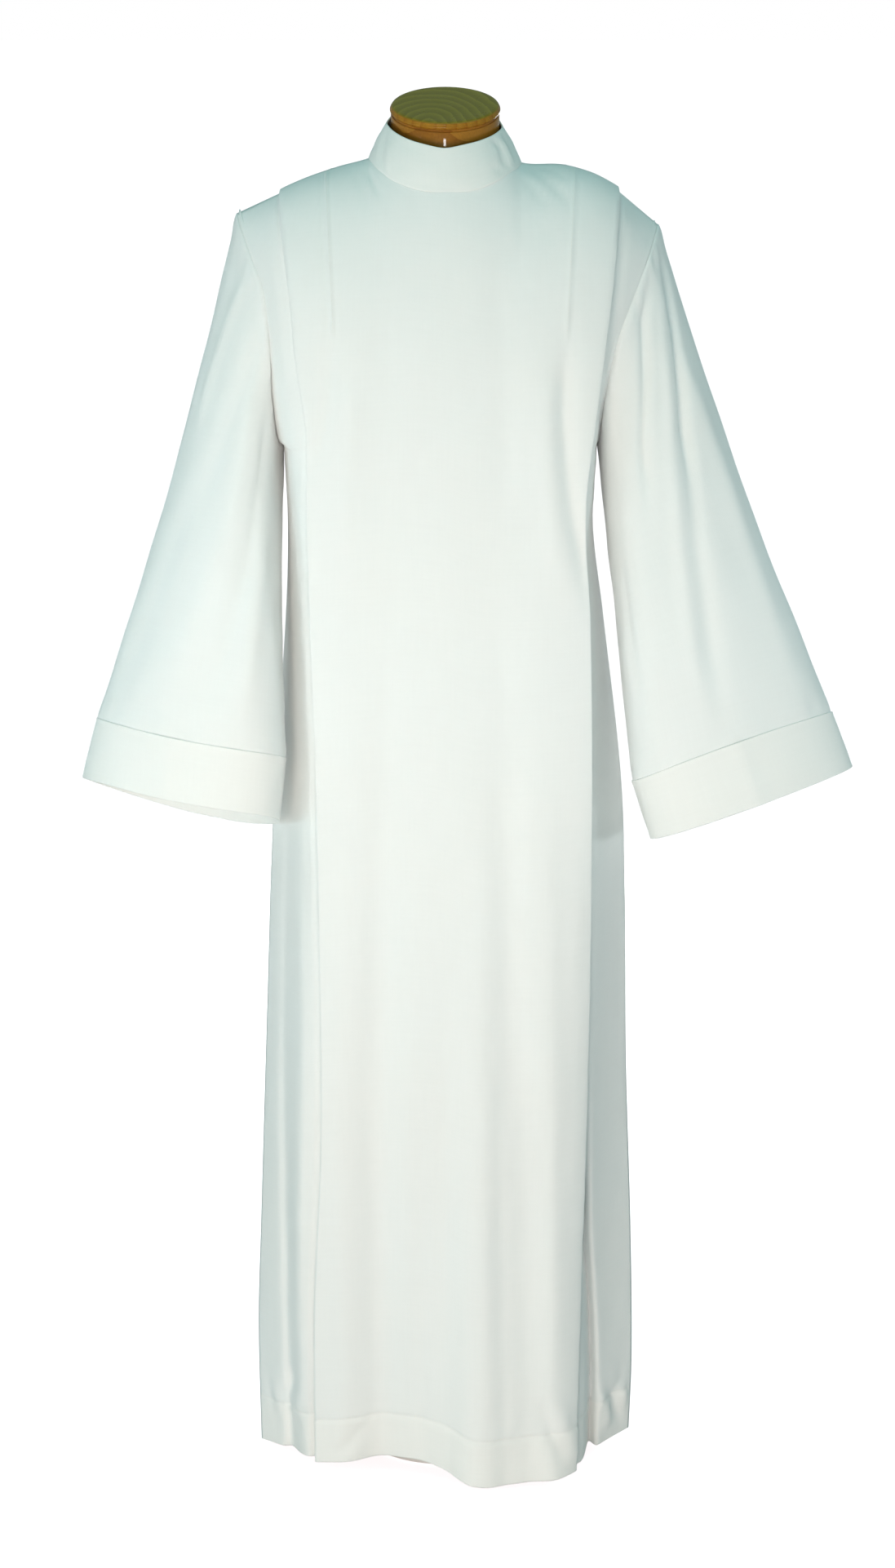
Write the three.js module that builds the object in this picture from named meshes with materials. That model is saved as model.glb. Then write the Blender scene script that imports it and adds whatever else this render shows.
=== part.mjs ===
// A clergy alb, a long off-white liturgical gown, dressed on a limbless tailor's form.
// Millimetres, +Z up, the front faces -Y. The origin is on the floor, at the underside of the form's base.
import * as THREE from 'three';

// ---- driving dimensions -------------------------------------------------------------------------

const CLOTH = 1.5;              // thickness of the cloth wall
const HEM_EXTRA = 1.3;          // the turned-up layer inside the hem
const HEM_DEPTH = 54;           // height of the turned-up hem
const CUFF_CLOTH = 2.4;         // the cuff is a doubled band
const COLLAR_CLOTH = 2;         // the collar is interfaced, so it is thicker
const SEAM_GAP = 0.4;           // between two pieces that are sewn together
const SEAM_Y = 5;               // front and back meet in this plane, at the sides and along the shoulders
const UNDERARM_Z = 1192;
const ROUNDNESS = 3;            // how square the plan section is, 2 being an ellipse
const ROUND_WIDTH = 240;        // half width at which that section would close
const PLEAT_STEP = 2.6;         // from one pleat layer to the next where the pleat is stitched down
const PLEAT_STEP_HEM = 7;       // the same at the hem, where the pleat hangs open
const PLEAT_STITCH_END = 1319;  // the pleats are stitched from the shoulder down to here
const POLE_SET = -6;            // height setting of the form's pole, which carries form and alb together

const LEFT = -1;
const RIGHT = 1;

// Half width of the skirt at the side seams, by height.
const SIDE_SEAM = {
  [LEFT]: [
    { z: 14, x: 218 }, { z: 161, x: 220 }, { z: 280, x: 216 }, { z: 525, x: 207 },
    { z: 755, x: 198 }, { z: 1000, x: 181 }, { z: 1100, x: 178 }, { z: 1192, x: 182 },
  ],
  [RIGHT]: [
    { z: 20, x: 212 }, { z: 121, x: 215 }, { z: 280, x: 212 }, { z: 477, x: 205 },
    { z: 670, x: 202 }, { z: 812, x: 196 }, { z: 1000, x: 174 }, { z: 1100, x: 162 }, { z: 1192, x: 166 },
  ],
};

// Front half of each armhole, from the underarm (u = 0) to the shoulder tip (u = 1).
const ARMHOLE = {
  [LEFT]: [
    { u: 0, x: 182, y: 5, z: 1192 }, { u: 0.15, x: 187, y: -36, z: 1200 }, { u: 0.3, x: 191, y: -60, z: 1247 },
    { u: 0.5, x: 194, y: -68, z: 1312 }, { u: 0.65, x: 200, y: -60, z: 1362 }, { u: 0.8, x: 214, y: -41, z: 1398 },
    { u: 0.92, x: 226, y: -15, z: 1427 }, { u: 1, x: 231, y: 5, z: 1442 },
  ],
  [RIGHT]: [
    { u: 0, x: 166, y: 5, z: 1192 }, { u: 0.15, x: 167, y: -38, z: 1200 }, { u: 0.3, x: 172, y: -64, z: 1247 },
    { u: 0.5, x: 186, y: -70, z: 1312 }, { u: 0.65, x: 203, y: -58, z: 1356 }, { u: 0.8, x: 218, y: -40, z: 1394 },
    { u: 0.92, x: 227, y: -15, z: 1418 }, { u: 1, x: 231, y: 5, z: 1430 },
  ],
};
const BACK_ARMHOLE_DEPTH = 0.92;  // the back half is this much shallower than the front half

// Height of the shoulder line by distance from the centre. Inside the neck it is the dome that the
// neckline is cut from.
const SHOULDER = {
  [LEFT]: [
    { x: 0, z: 1537 }, { x: 40, z: 1528 }, { x: 65, z: 1515 }, { x: 86, z: 1503 }, { x: 119, z: 1497 },
    { x: 152, z: 1488 }, { x: 178, z: 1479 }, { x: 193, z: 1471 },
  ],
  [RIGHT]: [
    { x: 0, z: 1537 }, { x: 40, z: 1526 }, { x: 65, z: 1510 }, { x: 81, z: 1497 }, { x: 126, z: 1495 },
    { x: 157, z: 1487 }, { x: 176, z: 1478 }, { x: 193, z: 1468 },
  ],
};
const NECK_HALF_WIDTH = { [LEFT]: 86, [RIGHT]: 80.5 };

// Each face of the body. The pleats' fold and stitch lines are read by height, as are the depths from
// the seam plane to the left and right half of the panel.
const FRONT = {
  facing: -1,
  neckDepth: 93,
  bend: 2.5,
  fold: {
    [LEFT]: [
      { z: 22, x: 153 }, { z: 214, x: 152 }, { z: 413, x: 143 }, { z: 604, x: 143 }, { z: 837, x: 146 },
      { z: 973, x: 150 }, { z: 1134, x: 154 }, { z: 1215, x: 154 }, { z: 1291, x: 165 }, { z: 1348, x: 170 },
      { z: 1462, x: 184 },
    ],
    [RIGHT]: [
      { z: 19, x: 149 }, { z: 223, x: 153 }, { z: 416, x: 158 }, { z: 698, x: 161 }, { z: 1009, x: 157 },
      { z: 1135, x: 151 }, { z: 1215, x: 160 }, { z: 1291, x: 170 }, { z: 1365, x: 179 }, { z: 1464, x: 188 },
    ],
  },
  stitch: {
    [LEFT]: [{ z: 20, x: 108 }, { z: 600, x: 112 }, { z: 1100, x: 118 }, { z: 1318, x: 123 }, { z: 1487, x: 132 }],
    [RIGHT]: [{ z: 20, x: 115 }, { z: 600, x: 122 }, { z: 1100, x: 124 }, { z: 1320, x: 129 }, { z: 1484, x: 138 }],
  },
  depth: [
    { z: 20, left: 100, right: 148 }, { z: 140, left: 112, right: 144 }, { z: 300, left: 122, right: 139 },
    { z: 500, left: 130, right: 136 }, { z: 800, left: 133, right: 133 }, { z: 1192, left: 133, right: 133 },
  ],
  stepFrom: -48,   // the deeper right half of the panel begins between these two places
  stepTo: 30,
  // Soft valleys that run down the panel: where each one lies at three heights, and how deep it gets.
  valleys: [
    { low: -80, middle: -83, high: -73, depth: 8, top: 1060, width: 20 },
    { low: 2, middle: -3, high: 6, depth: 6, top: 780, width: 17 },
    { low: 94, middle: 87, high: 58, depth: 8, top: 1080, width: 20 },
  ],
  hem: [
    { x: -218, z: 14 }, { x: -173, z: 20 }, { x: -150, z: 21 }, { x: -45, z: 30 }, { x: -8, z: 26 }, { x: 30, z: 14 },
    { x: 100, z: 14 }, { x: 150, z: 19 }, { x: 168, z: 24 }, { x: 184, z: 34 }, { x: 212, z: 28 },
  ],
};
const BACK = {
  facing: 1,
  neckDepth: 65,
  bend: 2.8,
  fold: {
    [LEFT]: [{ z: 20, x: 166 }, { z: 600, x: 152 }, { z: 1200, x: 144 }, { z: 1340, x: 158 }, { z: 1470, x: 176 }],
    [RIGHT]: [{ z: 20, x: 160 }, { z: 600, x: 154 }, { z: 1200, x: 142 }, { z: 1340, x: 158 }, { z: 1470, x: 178 }],
  },
  stitch: {
    [LEFT]: [{ z: 20, x: 112 }, { z: 1200, x: 108 }, { z: 1470, x: 128 }],
    [RIGHT]: [{ z: 20, x: 110 }, { z: 1200, x: 110 }, { z: 1470, x: 130 }],
  },
  depth: [
    { z: 20, left: 146, right: 140 }, { z: 300, left: 134, right: 131 }, { z: 600, left: 123, right: 122 },
    { z: 1000, left: 114, right: 114 }, { z: 1192, left: 113, right: 113 },
  ],
  stepFrom: -40,
  stepTo: 40,
  valleys: [
    { low: -72, middle: -66, high: -58, depth: 9, top: 1000, width: 20 },
    { low: 84, middle: 70, high: 50, depth: 8, top: 1120, width: 19 },
  ],
  hem: [{ x: -218, z: 14 }, { x: -120, z: 22 }, { x: 40, z: 18 }, { x: 140, z: 23 }, { x: 212, z: 28 }],
};

// Folds of the narrow side strips, from the pleat (at 0) to the side seam (at 1). Positive stands out.
const SIDE_FOLDS = {
  [LEFT]: [
    { at: 0.2, height: 4, width: 0.12 }, { at: 0.5, height: -10, width: 0.13 }, { at: 0.77, height: 4, width: 0.12 },
  ],
  [RIGHT]: [{ at: 0.3, height: -17, width: 0.16 }, { at: 0.66, height: 7, width: 0.14 }],
};
const SIDE_FOLD_TOP = 1080;

// Each sleeve ends in four key points of a closed loop: its outer, front, inner and back edge. The
// same four at the cuff's lower edge shape the cuff.
const SLEEVE_END = {
  [LEFT]: { outer: [391, -8, 880], front: [302, -119, 879], inner: [182, -104, 855], back: [259, 2, 842] },
  [RIGHT]: { outer: [430, -5, 886], front: [324, -105, 873], inner: [208, -88, 825], back: [285, 15, 836] },
};
const CUFF_END = {
  [LEFT]: { outer: [409, -8, 809], front: [308, -122, 809], inner: [189, -106, 784], back: [266, 5, 767] },
  [RIGHT]: { outer: [455, -5, 823], front: [348, -108, 801], inner: [230, -90, 758], back: [306, 15, 769] },
};
const SLEEVE_STEPS = [0, 0.05, 0.12, 0.22, 0.34, 0.48, 0.62, 0.76, 0.89, 1];
const UNDERARM_SWING = { [LEFT]: { x: 2, y: -18 }, [RIGHT]: { x: 0, y: -22 } };  // hangs forward of the side
const OUTER_SAG = 7;            // how far the line from the shoulder tip to the cuff hangs inside a straight one
const SLEEVE_FULLNESS = 7;

const COLLAR_TOP = { left: -66, right: 61.5, front: -72, back: 66, y: -5 };
const COLLAR_TOP_Z = { front: 1519, left: 1541, right: 1537, back: 1564 };
const COLLAR_DIP = 2.5;         // the top edge dips at the centre front
const COLLAR_BELLY = 1.5;

// The tailor's form: half width, and depth to the front and to the back, by height.
const TORSO = [
  { z: 728, x: 146, front: 88, back: 100, square: 2.2 }, { z: 736, x: 152, front: 94, back: 106, square: 2.2 },
  { z: 850, x: 157, front: 98, back: 108, square: 2.2 }, { z: 950, x: 140, front: 90, back: 96, square: 2.2 },
  { z: 1050, x: 126, front: 86, back: 86, square: 2.2 }, { z: 1150, x: 136, front: 96, back: 90, square: 2.2 },
  { z: 1240, x: 146, front: 103, back: 94, square: 2.2 }, { z: 1320, x: 160, front: 98, back: 93, square: 2.1 },
  { z: 1380, x: 186, front: 86, back: 84, square: 1.9 }, { z: 1420, x: 200, front: 78, back: 76, square: 1.8 },
  { z: 1440, x: 202, front: 72, back: 70, square: 1.8 }, { z: 1451, x: 192, front: 68, back: 66, square: 1.8 },
  { z: 1468, x: 168, front: 62, back: 60, square: 1.8 }, { z: 1481, x: 138, front: 57, back: 54, square: 1.8 },
];
// The torso's top rings lean forward by a growing share of the neck's tilt.
const TORSO_NECK = [
  { z: 1490, x: 100, front: 50, back: 45, lean: 0.25 }, { z: 1496, x: 74, front: 49, back: 50, lean: 0.5 },
  { z: 1502, x: 60, front: 52, back: 55, lean: 0.8 }, { z: 1507, x: 57, front: 52, back: 52, lean: 1 },
];

// The wooden neck: a turned cap on an upright block whose two ends are cut at the same tilt.
const NECK = { x: -2.6, y: 0, tilt: THREE.MathUtils.degToRad(17), top: 1559 };
const NECK_RADIUS = 60.5;
const CAP_HEIGHT = 8;
const BLOCK = { foot: 1507.4, shoulder: 1549, y: 2.5, radius: 59.5, grooveDepth: 2.4 };

const BASE = { y: 40, radius: 96, height: 6, bevel: 1.5 };
const POLE_RADIUS = 12.5;
const SOCKET = { radius: 24, height: 26 };

const cloth = new THREE.MeshStandardMaterial({ color: 0xf2f1ea, roughness: 0.9, metalness: 0 });
const formCover = new THREE.MeshStandardMaterial({ color: 0xe4dccb, roughness: 0.95, metalness: 0 });
const wood = new THREE.MeshStandardMaterial({ color: 0x8f6126, roughness: 0.35, metalness: 0 });
const whiteSteel = new THREE.MeshStandardMaterial({ color: 0xededea, roughness: 0.5, metalness: 0 });

// ---- small helpers ------------------------------------------------------------------------------

const mix = (a, b, t) => a + (b - a) * t;
const clamp01 = (t) => Math.min(1, Math.max(0, t));
const ease = (t) => clamp01(t) * clamp01(t) * (3 - 2 * clamp01(t));
const bump = (distance, width) => Math.exp(-((distance / width) ** 2));

/** Reads one named column of a table at a value of its key column, along a smooth curve. */
function read(table, key, column, value) {
  const last = table.length - 1;
  if (value <= table[0][key]) return table[0][column];
  if (value >= table[last][key]) return table[last][column];
  const i = table.findIndex((row, k) => k < last && value <= table[k + 1][key]);
  const slope = (k) => {
    const a = table[Math.max(0, k - 1)];
    const b = table[Math.min(last, k + 1)];
    return (b[column] - a[column]) / (b[key] - a[key]);
  };
  const span = table[i + 1][key] - table[i][key];
  const t = (value - table[i][key]) / span;
  const blend = t * t * (3 - 2 * t);
  return table[i][column] * (1 - blend) + table[i + 1][column] * blend
    + span * t * (1 - t) * (slope(i) * (1 - t) - slope(i + 1) * t);
}

/** One closed body from rings of points, each ring closed, with flat ends. */
function loft(rings) {
  const around = rings[0].length;
  const positions = rings.flat().flatMap((p) => p.toArray());
  const faces = [];
  for (let i = 0; i < rings.length - 1; i++) {
    for (let j = 0; j < around; j++) {
      const a = i * around + j;
      const b = i * around + ((j + 1) % around);
      faces.push(a, b, b + around, a, b + around, a + around);
    }
  }
  const top = (rings.length - 1) * around;
  for (let j = 1; j < around - 1; j++) faces.push(0, j + 1, j, top, top + j, top + j + 1);
  return indexed(positions, faces);
}

function indexed(positions, faces) {
  const geometry = new THREE.BufferGeometry();
  geometry.setAttribute('position', new THREE.Float32BufferAttribute(positions, 3));
  geometry.setIndex(faces);
  return geometry;
}

/** The outward normal at each point of a grid, from the mean direction of the two lines on each side. */
function gridNormals(grid, closed, adjust) {
  const direction = (a, b) => new THREE.Vector3().subVectors(b, a).normalize();
  return grid.map((row, i) => row.map((point, j) => {
    const count = row.length;
    const before = closed ? row[(j + count - 1) % count] : row[j - 1];
    const after = closed ? row[(j + 1) % count] : row[j + 1];
    const across = new THREE.Vector3();
    if (before) across.add(direction(before, point));
    if (after) across.add(direction(point, after));
    const up = new THREE.Vector3();
    if (i > 0) up.add(direction(grid[i - 1][j], point));
    if (i < grid.length - 1) up.add(direction(point, grid[i + 1][j]));
    const normal = across.cross(up).normalize();
    if (adjust) adjust(normal, i, j);
    return normal.normalize();
  }));
}

/**
 * A cloth wall around a grid of points in the middle of the cloth. Rows run up the cloth and columns
 * across it. `inside` gives how far the inner face lies from the middle at a row.
 */
function clothWall(grid, outside, inside, { closed = false, adjust = null } = {}) {
  const rows = grid.length;
  const columns = grid[0].length;
  const normals = gridNormals(grid, closed, adjust);
  const positions = [];
  for (const face of [1, -1]) {
    grid.forEach((row, i) => row.forEach((point, j) => {
      const offset = face > 0 ? outside : -inside(i);
      positions.push(...point.clone().addScaledVector(normals[i][j], offset).toArray());
    }));
  }
  const id = (face, i, j) => face * rows * columns + i * columns + (j % columns);
  const faces = [];
  const quad = (a, b, c, d) => faces.push(a, b, c, a, c, d);
  const steps = closed ? columns : columns - 1;
  for (let i = 0; i < rows - 1; i++) {
    for (let j = 0; j < steps; j++) {
      quad(id(0, i, j), id(0, i, j + 1), id(0, i + 1, j + 1), id(0, i + 1, j));
      quad(id(1, i, j), id(1, i + 1, j), id(1, i + 1, j + 1), id(1, i, j + 1));
    }
  }
  for (let j = 0; j < steps; j++) {
    quad(id(1, 0, j), id(1, 0, j + 1), id(0, 0, j + 1), id(0, 0, j));
    quad(id(0, rows - 1, j), id(0, rows - 1, j + 1), id(1, rows - 1, j + 1), id(1, rows - 1, j));
  }
  if (!closed) {
    const end = columns - 1;
    for (let i = 0; i < rows - 1; i++) {
      quad(id(0, i, 0), id(0, i + 1, 0), id(1, i + 1, 0), id(1, i, 0));
      quad(id(1, i, end), id(1, i + 1, end), id(0, i + 1, end), id(0, i, end));
    }
  }
  return { geometry: indexed(positions, faces), normals };
}

// ---- body of the alb ----------------------------------------------------------------------------
// A level runs from 0 at the hem to 1 at the underarm and 2 at the shoulder line or neckline.

// Above the underarm the share of the rise at each level is eased, so that the rows crowd at both ends.
const UPPER_RISE = [0, 0.022, 0.065, 0.14, 0.25, 0.38, 0.52, 0.66, 0.78, 0.875, 0.945, 0.985, 1];
const UPPER_STEPS = UPPER_RISE.length - 1;
const RISE_TABLE = UPPER_RISE.map((share, k) => ({ level: 1 + k / UPPER_STEPS, share }));
const UPPER_LEVELS = RISE_TABLE.slice(1).map((row) => row.level);
const HEM_LEVEL = HEM_DEPTH / (UNDERARM_Z - FRONT.hem[0].z);
const SKIRT_LEVELS = [0.11, 0.19, 0.28, 0.38, 0.49, 0.6, 0.71, 0.81, 0.91, 1];
const FRONT_LEVELS = [0, HEM_LEVEL / 2, HEM_LEVEL, ...SKIRT_LEVELS, ...UPPER_LEVELS];
const BACK_LEVELS = [0, HEM_LEVEL, 0.16, 0.32, 0.5, 0.68, 0.86, 1, ...UPPER_LEVELS];
const STRIP_STEPS = 6;

const heightBelow = (face, x, level) => mix(read(face.hem, 'x', 'z', x), UNDERARM_Z, level);

/** How far the panel stands from the seam plane, with its rounded section and its soft valleys. */
function panelDepth(face, x, z) {
  const share = ease((x - face.stepFrom) / (face.stepTo - face.stepFrom));
  const flat = mix(read(face.depth, 'z', 'left', z), read(face.depth, 'z', 'right', z), share);
  const round = (1 - (Math.abs(x) / ROUND_WIDTH) ** ROUNDNESS) ** (1 / ROUNDNESS);
  let sink = 0;
  for (const v of face.valleys) {
    const place = z < 413 ? mix(v.low, v.middle, z / 413) : mix(v.middle, v.high, Math.min(1, (z - 413) / 487));
    sink += v.depth * bump(x - place, v.width) * ease((v.top - z) / (v.top - 250));
  }
  return flat * round - sink;
}

/** The share of the dome's rise at which a column of the upper body ends, at the neckline or shoulder. */
function topShare(face, side, topX) {
  const share = Math.min(1, topX / NECK_HALF_WIDTH[side]);
  const neck = face.neckDepth * Math.sqrt(1 - share * share);
  return (1 - (neck / panelDepth(face, side * topX, UNDERARM_Z)) ** face.bend) ** (1 / face.bend);
}

/** A point of the pleated panel at a distance from the centre, for a column that ends at topX. */
function panelPoint(face, side, x, level, topX) {
  if (level <= 1) {
    const z = heightBelow(face, side * x, level);
    return new THREE.Vector3(side * x, SEAM_Y + face.facing * panelDepth(face, side * x, z), z);
  }
  const share = Math.min(1, topShare(face, side, topX) * read(RISE_TABLE, 'level', 'share', level));
  const rise = read(SHOULDER[side], 'x', 'z', x) - UNDERARM_Z;
  const depth = panelDepth(face, side * x, UNDERARM_Z) * (1 - share ** face.bend) ** (1 / face.bend);
  return new THREE.Vector3(side * x, SEAM_Y + face.facing * depth, UNDERARM_Z + rise * share);
}

function panelNormal(face, side, x, level, topX) {
  const nudge = 1;
  const across = panelPoint(face, side, x + nudge, level, topX + nudge)
    .sub(panelPoint(face, side, x - nudge, level, topX - nudge));
  const up = panelPoint(face, side, x, Math.min(2, level + 0.01), topX)
    .sub(panelPoint(face, side, x, Math.max(0, level - 0.01), topX));
  const normal = across.cross(up).normalize();
  if (normal.y * face.facing < 0) normal.negate();
  if (level > 1.995) normal.y = 0;
  return normal.normalize();
}

/** The body's outer edge: the side seam, then the armhole. */
function edgePoint(face, side, level) {
  if (level <= 1) {
    const z = mix(read(face.hem, 'x', 'z', side * 215), UNDERARM_Z, level);
    const x = side * read(SIDE_SEAM[side], 'z', 'x', z);
    return new THREE.Vector3(x, SEAM_Y + face.facing * SEAM_GAP / 2, z);
  }
  const u = level - 1;
  const forward = SEAM_Y - read(ARMHOLE[side], 'u', 'y', u);
  const depth = face.facing < 0 ? forward : forward * BACK_ARMHOLE_DEPTH;
  return new THREE.Vector3(
    side * read(ARMHOLE[side], 'u', 'x', u),
    SEAM_Y + face.facing * (depth + SEAM_GAP / 2),
    read(ARMHOLE[side], 'u', 'z', u),
  );
}

/** The strip from under the pleat's fold to the side seam or armhole, `share` of the way across. */
function stripPoint(side, face, level, from, share) {
  const edge = edgePoint(face, side, level);
  const lowCorner = new THREE.Vector3(
    mix(from.x, edge.x, 0.86), mix(edge.y, from.y, 0.76), mix(from.z, edge.z, 0.5),
  );
  const highCorner = from.clone().lerp(edge, 0.5);
  highCorner.y += face.facing * 5;
  const corner = lowCorner.lerp(highCorner, ease((level - 0.9) / 0.4));
  const point = from.clone().multiplyScalar((1 - share) ** 2)
    .addScaledVector(corner, 2 * share * (1 - share))
    .addScaledVector(edge, share * share);
  const fade = ease((SIDE_FOLD_TOP - point.z) / (SIDE_FOLD_TOP - 300));
  const out = new THREE.Vector3(side * Math.abs(edge.y - from.y), face.facing * Math.abs(edge.x - from.x), 0);
  out.normalize();
  for (const fold of SIDE_FOLDS[side]) {
    point.addScaledVector(out, fold.height * fade * bump(share - fold.at, fold.width));
  }
  return point;
}

/** Distances from the centre of the columns between the centre and the pleat's stitch line. */
function innerColumns(face, side, level) {
  const stitchTop = read(face.stitch[side], 'z', 'x', 1487);
  const neck = NECK_HALF_WIDTH[side] / stitchTop;
  const topShares = [0, 18, 36, 54, 72, 90].map((angle) => neck * Math.sin(THREE.MathUtils.degToRad(angle)));
  topShares.push((neck + 1) / 2, 1);
  const rise = ease(read(RISE_TABLE, 'level', 'share', level));
  return topShares.map((top, j) => ({ share: mix(j / 7, top, rise), topX: top * stitchTop }));
}

/** Half a row of the body, from the centre out to the side seam, through the three layers of the pleat. */
function halfRow(face, side, level) {
  const nearX = read(face.fold[side], 'z', 'x', 600);
  const z = level <= 1
    ? heightBelow(face, side * nearX, level)
    : mix(UNDERARM_Z, 1484, read(RISE_TABLE, 'level', 'share', level));
  const stitch = read(face.stitch[side], 'z', 'x', z);
  const fold = read(face.fold[side], 'z', 'x', z);
  const stitchTop = read(face.stitch[side], 'z', 'x', 1487);
  const foldTop = read(face.fold[side], 'z', 'x', 1487);
  const step = mix(PLEAT_STEP_HEM, PLEAT_STEP, ease(z / PLEAT_STITCH_END));
  const middle = (stitch + fold) / 2;
  const layer = (x, depth) => {
    const topX = stitchTop + (foldTop - stitchTop) * (x - stitch) / (fold - stitch);
    return panelPoint(face, side, x, level, topX)
      .addScaledVector(panelNormal(face, side, x, level, topX), -depth * step);
  };
  const row = innerColumns(face, side, level)
    .map(({ share, topX }) => panelPoint(face, side, share * stitch, level, topX));
  row.push(layer(middle, 0), layer(fold - step / 2, 0), layer(fold, 0.5), layer(fold - step / 2, 1));
  row.push(layer(middle, 1), layer(stitch + step / 2, 1), layer(stitch, 1.5), layer(stitch + step / 2, 2));
  row.push(layer(middle, 2));
  const under = layer(fold, 2);
  row.push(under);
  for (let k = 1; k <= STRIP_STEPS; k++) row.push(stripPoint(side, face, level, under, k / STRIP_STEPS));
  return row;
}

const hemInside = (levels) => (i) => CLOTH / 2 + (levels[i] <= HEM_LEVEL ? HEM_EXTRA : 0);

/** Keeps the cloth's edges square where front and back meet: along the shoulders and the side seams. */
function squareAtSeams(levels, columns, openEnds) {
  return (normal, i, j) => {
    const atNeck = (j > openEnds.from && j < openEnds.to);
    const onShoulder = levels[i] > 1.995 && !atNeck;
    const onSide = (j === 0 || j === columns - 1) && (levels[i] <= 1 || levels[i] > 1.995);
    if (onShoulder || (onSide && !openEnds.centre.includes(j))) normal.y = 0;
  };
}

function frontPiece() {
  const grid = FRONT_LEVELS.map((level) => {
    const left = halfRow(FRONT, LEFT, level).reverse();
    return [...left.slice(0, -1), ...halfRow(FRONT, RIGHT, level)];
  });
  const columns = grid[0].length;
  const centre = (columns - 1) / 2;
  const neck = { from: centre - 5, to: centre + 5, centre: [] };
  const adjust = squareAtSeams(FRONT_LEVELS, columns, neck);
  return { grid, ...clothWall(grid, CLOTH / 2, hemInside(FRONT_LEVELS), { adjust }) };
}

/** One half of the back. The two halves meet at the centre back, under the concealed closure. */
function backPiece(side) {
  const grid = BACK_LEVELS.map((level) => {
    const row = halfRow(BACK, side, level);
    row[0].x = side * SEAM_GAP / 2;
    return side === RIGHT ? row.reverse() : row;
  });
  const columns = grid[0].length;
  const neck = side === RIGHT
    ? { from: columns - 6, to: columns, centre: [columns - 1] }
    : { from: -1, to: 5, centre: [0] };
  const adjust = squareAtSeams(BACK_LEVELS, columns, neck);
  return { grid, ...clothWall(grid, CLOTH / 2, hemInside(BACK_LEVELS), { adjust }) };
}

// ---- sleeves and cuffs --------------------------------------------------------------------------

const LOOP_POINTS = 2 * UPPER_STEPS;
const loopAngle = (m) => m * 2 * Math.PI / LOOP_POINTS;

/** A point of a closed loop through four key points. Angle 0 is the outer edge, a quarter turn the front. */
function loopPoint(key, side, angle) {
  const at = (name) => new THREE.Vector3(side * key[name][0], key[name][1], key[name][2]);
  const c = Math.cos(angle);
  const s = Math.sin(angle);
  return at('outer').multiplyScalar(c * c / 2 + c / 2).addScaledVector(at('inner'), c * c / 2 - c / 2)
    .addScaledVector(at('front'), s * s / 2 + s / 2).addScaledVector(at('back'), s * s / 2 - s / 2);
}

/** The armhole's points and the body's normals there: from the tip down the front and up the back. */
function armholeLoop(side, front, back) {
  const frontColumn = side === LEFT ? 0 : front.grid[0].length - 1;
  const backColumn = side === LEFT ? back.grid[0].length - 1 : 0;
  const down = [];
  const up = [];
  for (let k = UPPER_STEPS; k >= 0; k--) {
    const row = FRONT_LEVELS.length - UPPER_STEPS - 1 + k;
    down.push({ point: front.grid[row][frontColumn], normal: front.normals[row][frontColumn] });
  }
  for (let k = 1; k < UPPER_STEPS; k++) {
    const row = BACK_LEVELS.length - UPPER_STEPS - 1 + k;
    up.push({ point: back.grid[row][backColumn], normal: back.normals[row][backColumn] });
  }
  return [...down, ...up];
}

function sleevePiece(side, front, back) {
  const armhole = armholeLoop(side, front, back);
  const hang = (m, s) => {
    const angle = loopAngle(m);
    const end = loopPoint(SLEEVE_END[side], side, angle);
    const under = Math.max(0, -Math.cos(angle)) ** 2;
    const swell = Math.sin(Math.PI * s);
    const point = armhole[m].point.clone().lerp(end, s);
    const outer = Math.max(0, Math.cos(angle)) ** 2;
    point.x += side * swell * (UNDERARM_SWING[side].x * under - OUTER_SAG * outer);
    point.y += swell * (UNDERARM_SWING[side].y * under - SLEEVE_FULLNESS * Math.sin(angle));
    return point;
  };
  const grid = SLEEVE_STEPS.map((s) => armhole.map(({ point, normal }, m) => {
    if (s > 0) return hang(m, s);
    const away = hang(m, SLEEVE_STEPS[1]).sub(point).normalize();
    const turnsBack = ease((1 - Math.cos(loopAngle(m))) / 2 - 0.1);
    return point.clone().addScaledVector(normal, 1.1 + 1.1 * turnsBack)
      .addScaledVector(away, 0.8 * (1 - turnsBack));
  }));
  const upward = side === LEFT ? grid.reverse() : grid.reverse().map((row) => [...row].reverse());
  return { grid: upward, ...clothWall(upward, CLOTH / 2, () => CLOTH / 2, { closed: true }) };
}

function cuffPiece(side) {
  const shares = [1, 0.5, 0.04, 0.006];
  const grid = shares.map((share) => Array.from({ length: LOOP_POINTS }, (_, m) => {
    const top = loopPoint(SLEEVE_END[side], side, loopAngle(m));
    const bottom = loopPoint(CUFF_END[side], side, loopAngle(m));
    return top.lerp(bottom, share);
  }));
  const rows = side === LEFT ? grid : grid.map((row) => [...row].reverse());
  return clothWall(rows, CLOTH / 2 + 0.5, () => CUFF_CLOTH - CLOTH / 2 - 0.5, { closed: true });
}

// ---- collar -------------------------------------------------------------------------------------

/** The neckline from the centre back round the left, front and right to the centre back again. */
function neckline(front, backLeft, backRight) {
  const centre = (front.grid[0].length - 1) / 2;
  const top = (piece, column) => ({ point: piece.grid.at(-1)[column], normal: piece.normals.at(-1)[column] });
  const points = [];
  for (let j = 0; j <= 4; j++) points.push({ ...top(backLeft, j), angle: 180 - 18 * j, side: LEFT });
  for (let j = 5; j >= 0; j--) points.push({ ...top(front, centre - j), angle: 18 * j, side: LEFT });
  for (let j = 1; j <= 5; j++) points.push({ ...top(front, centre + j), angle: 18 * j, side: RIGHT });
  const last = backRight.grid[0].length - 1;
  for (let j = 4; j >= 0; j--) points.push({ ...top(backRight, last - j), angle: 180 - 18 * j, side: RIGHT });
  return points;
}

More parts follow.
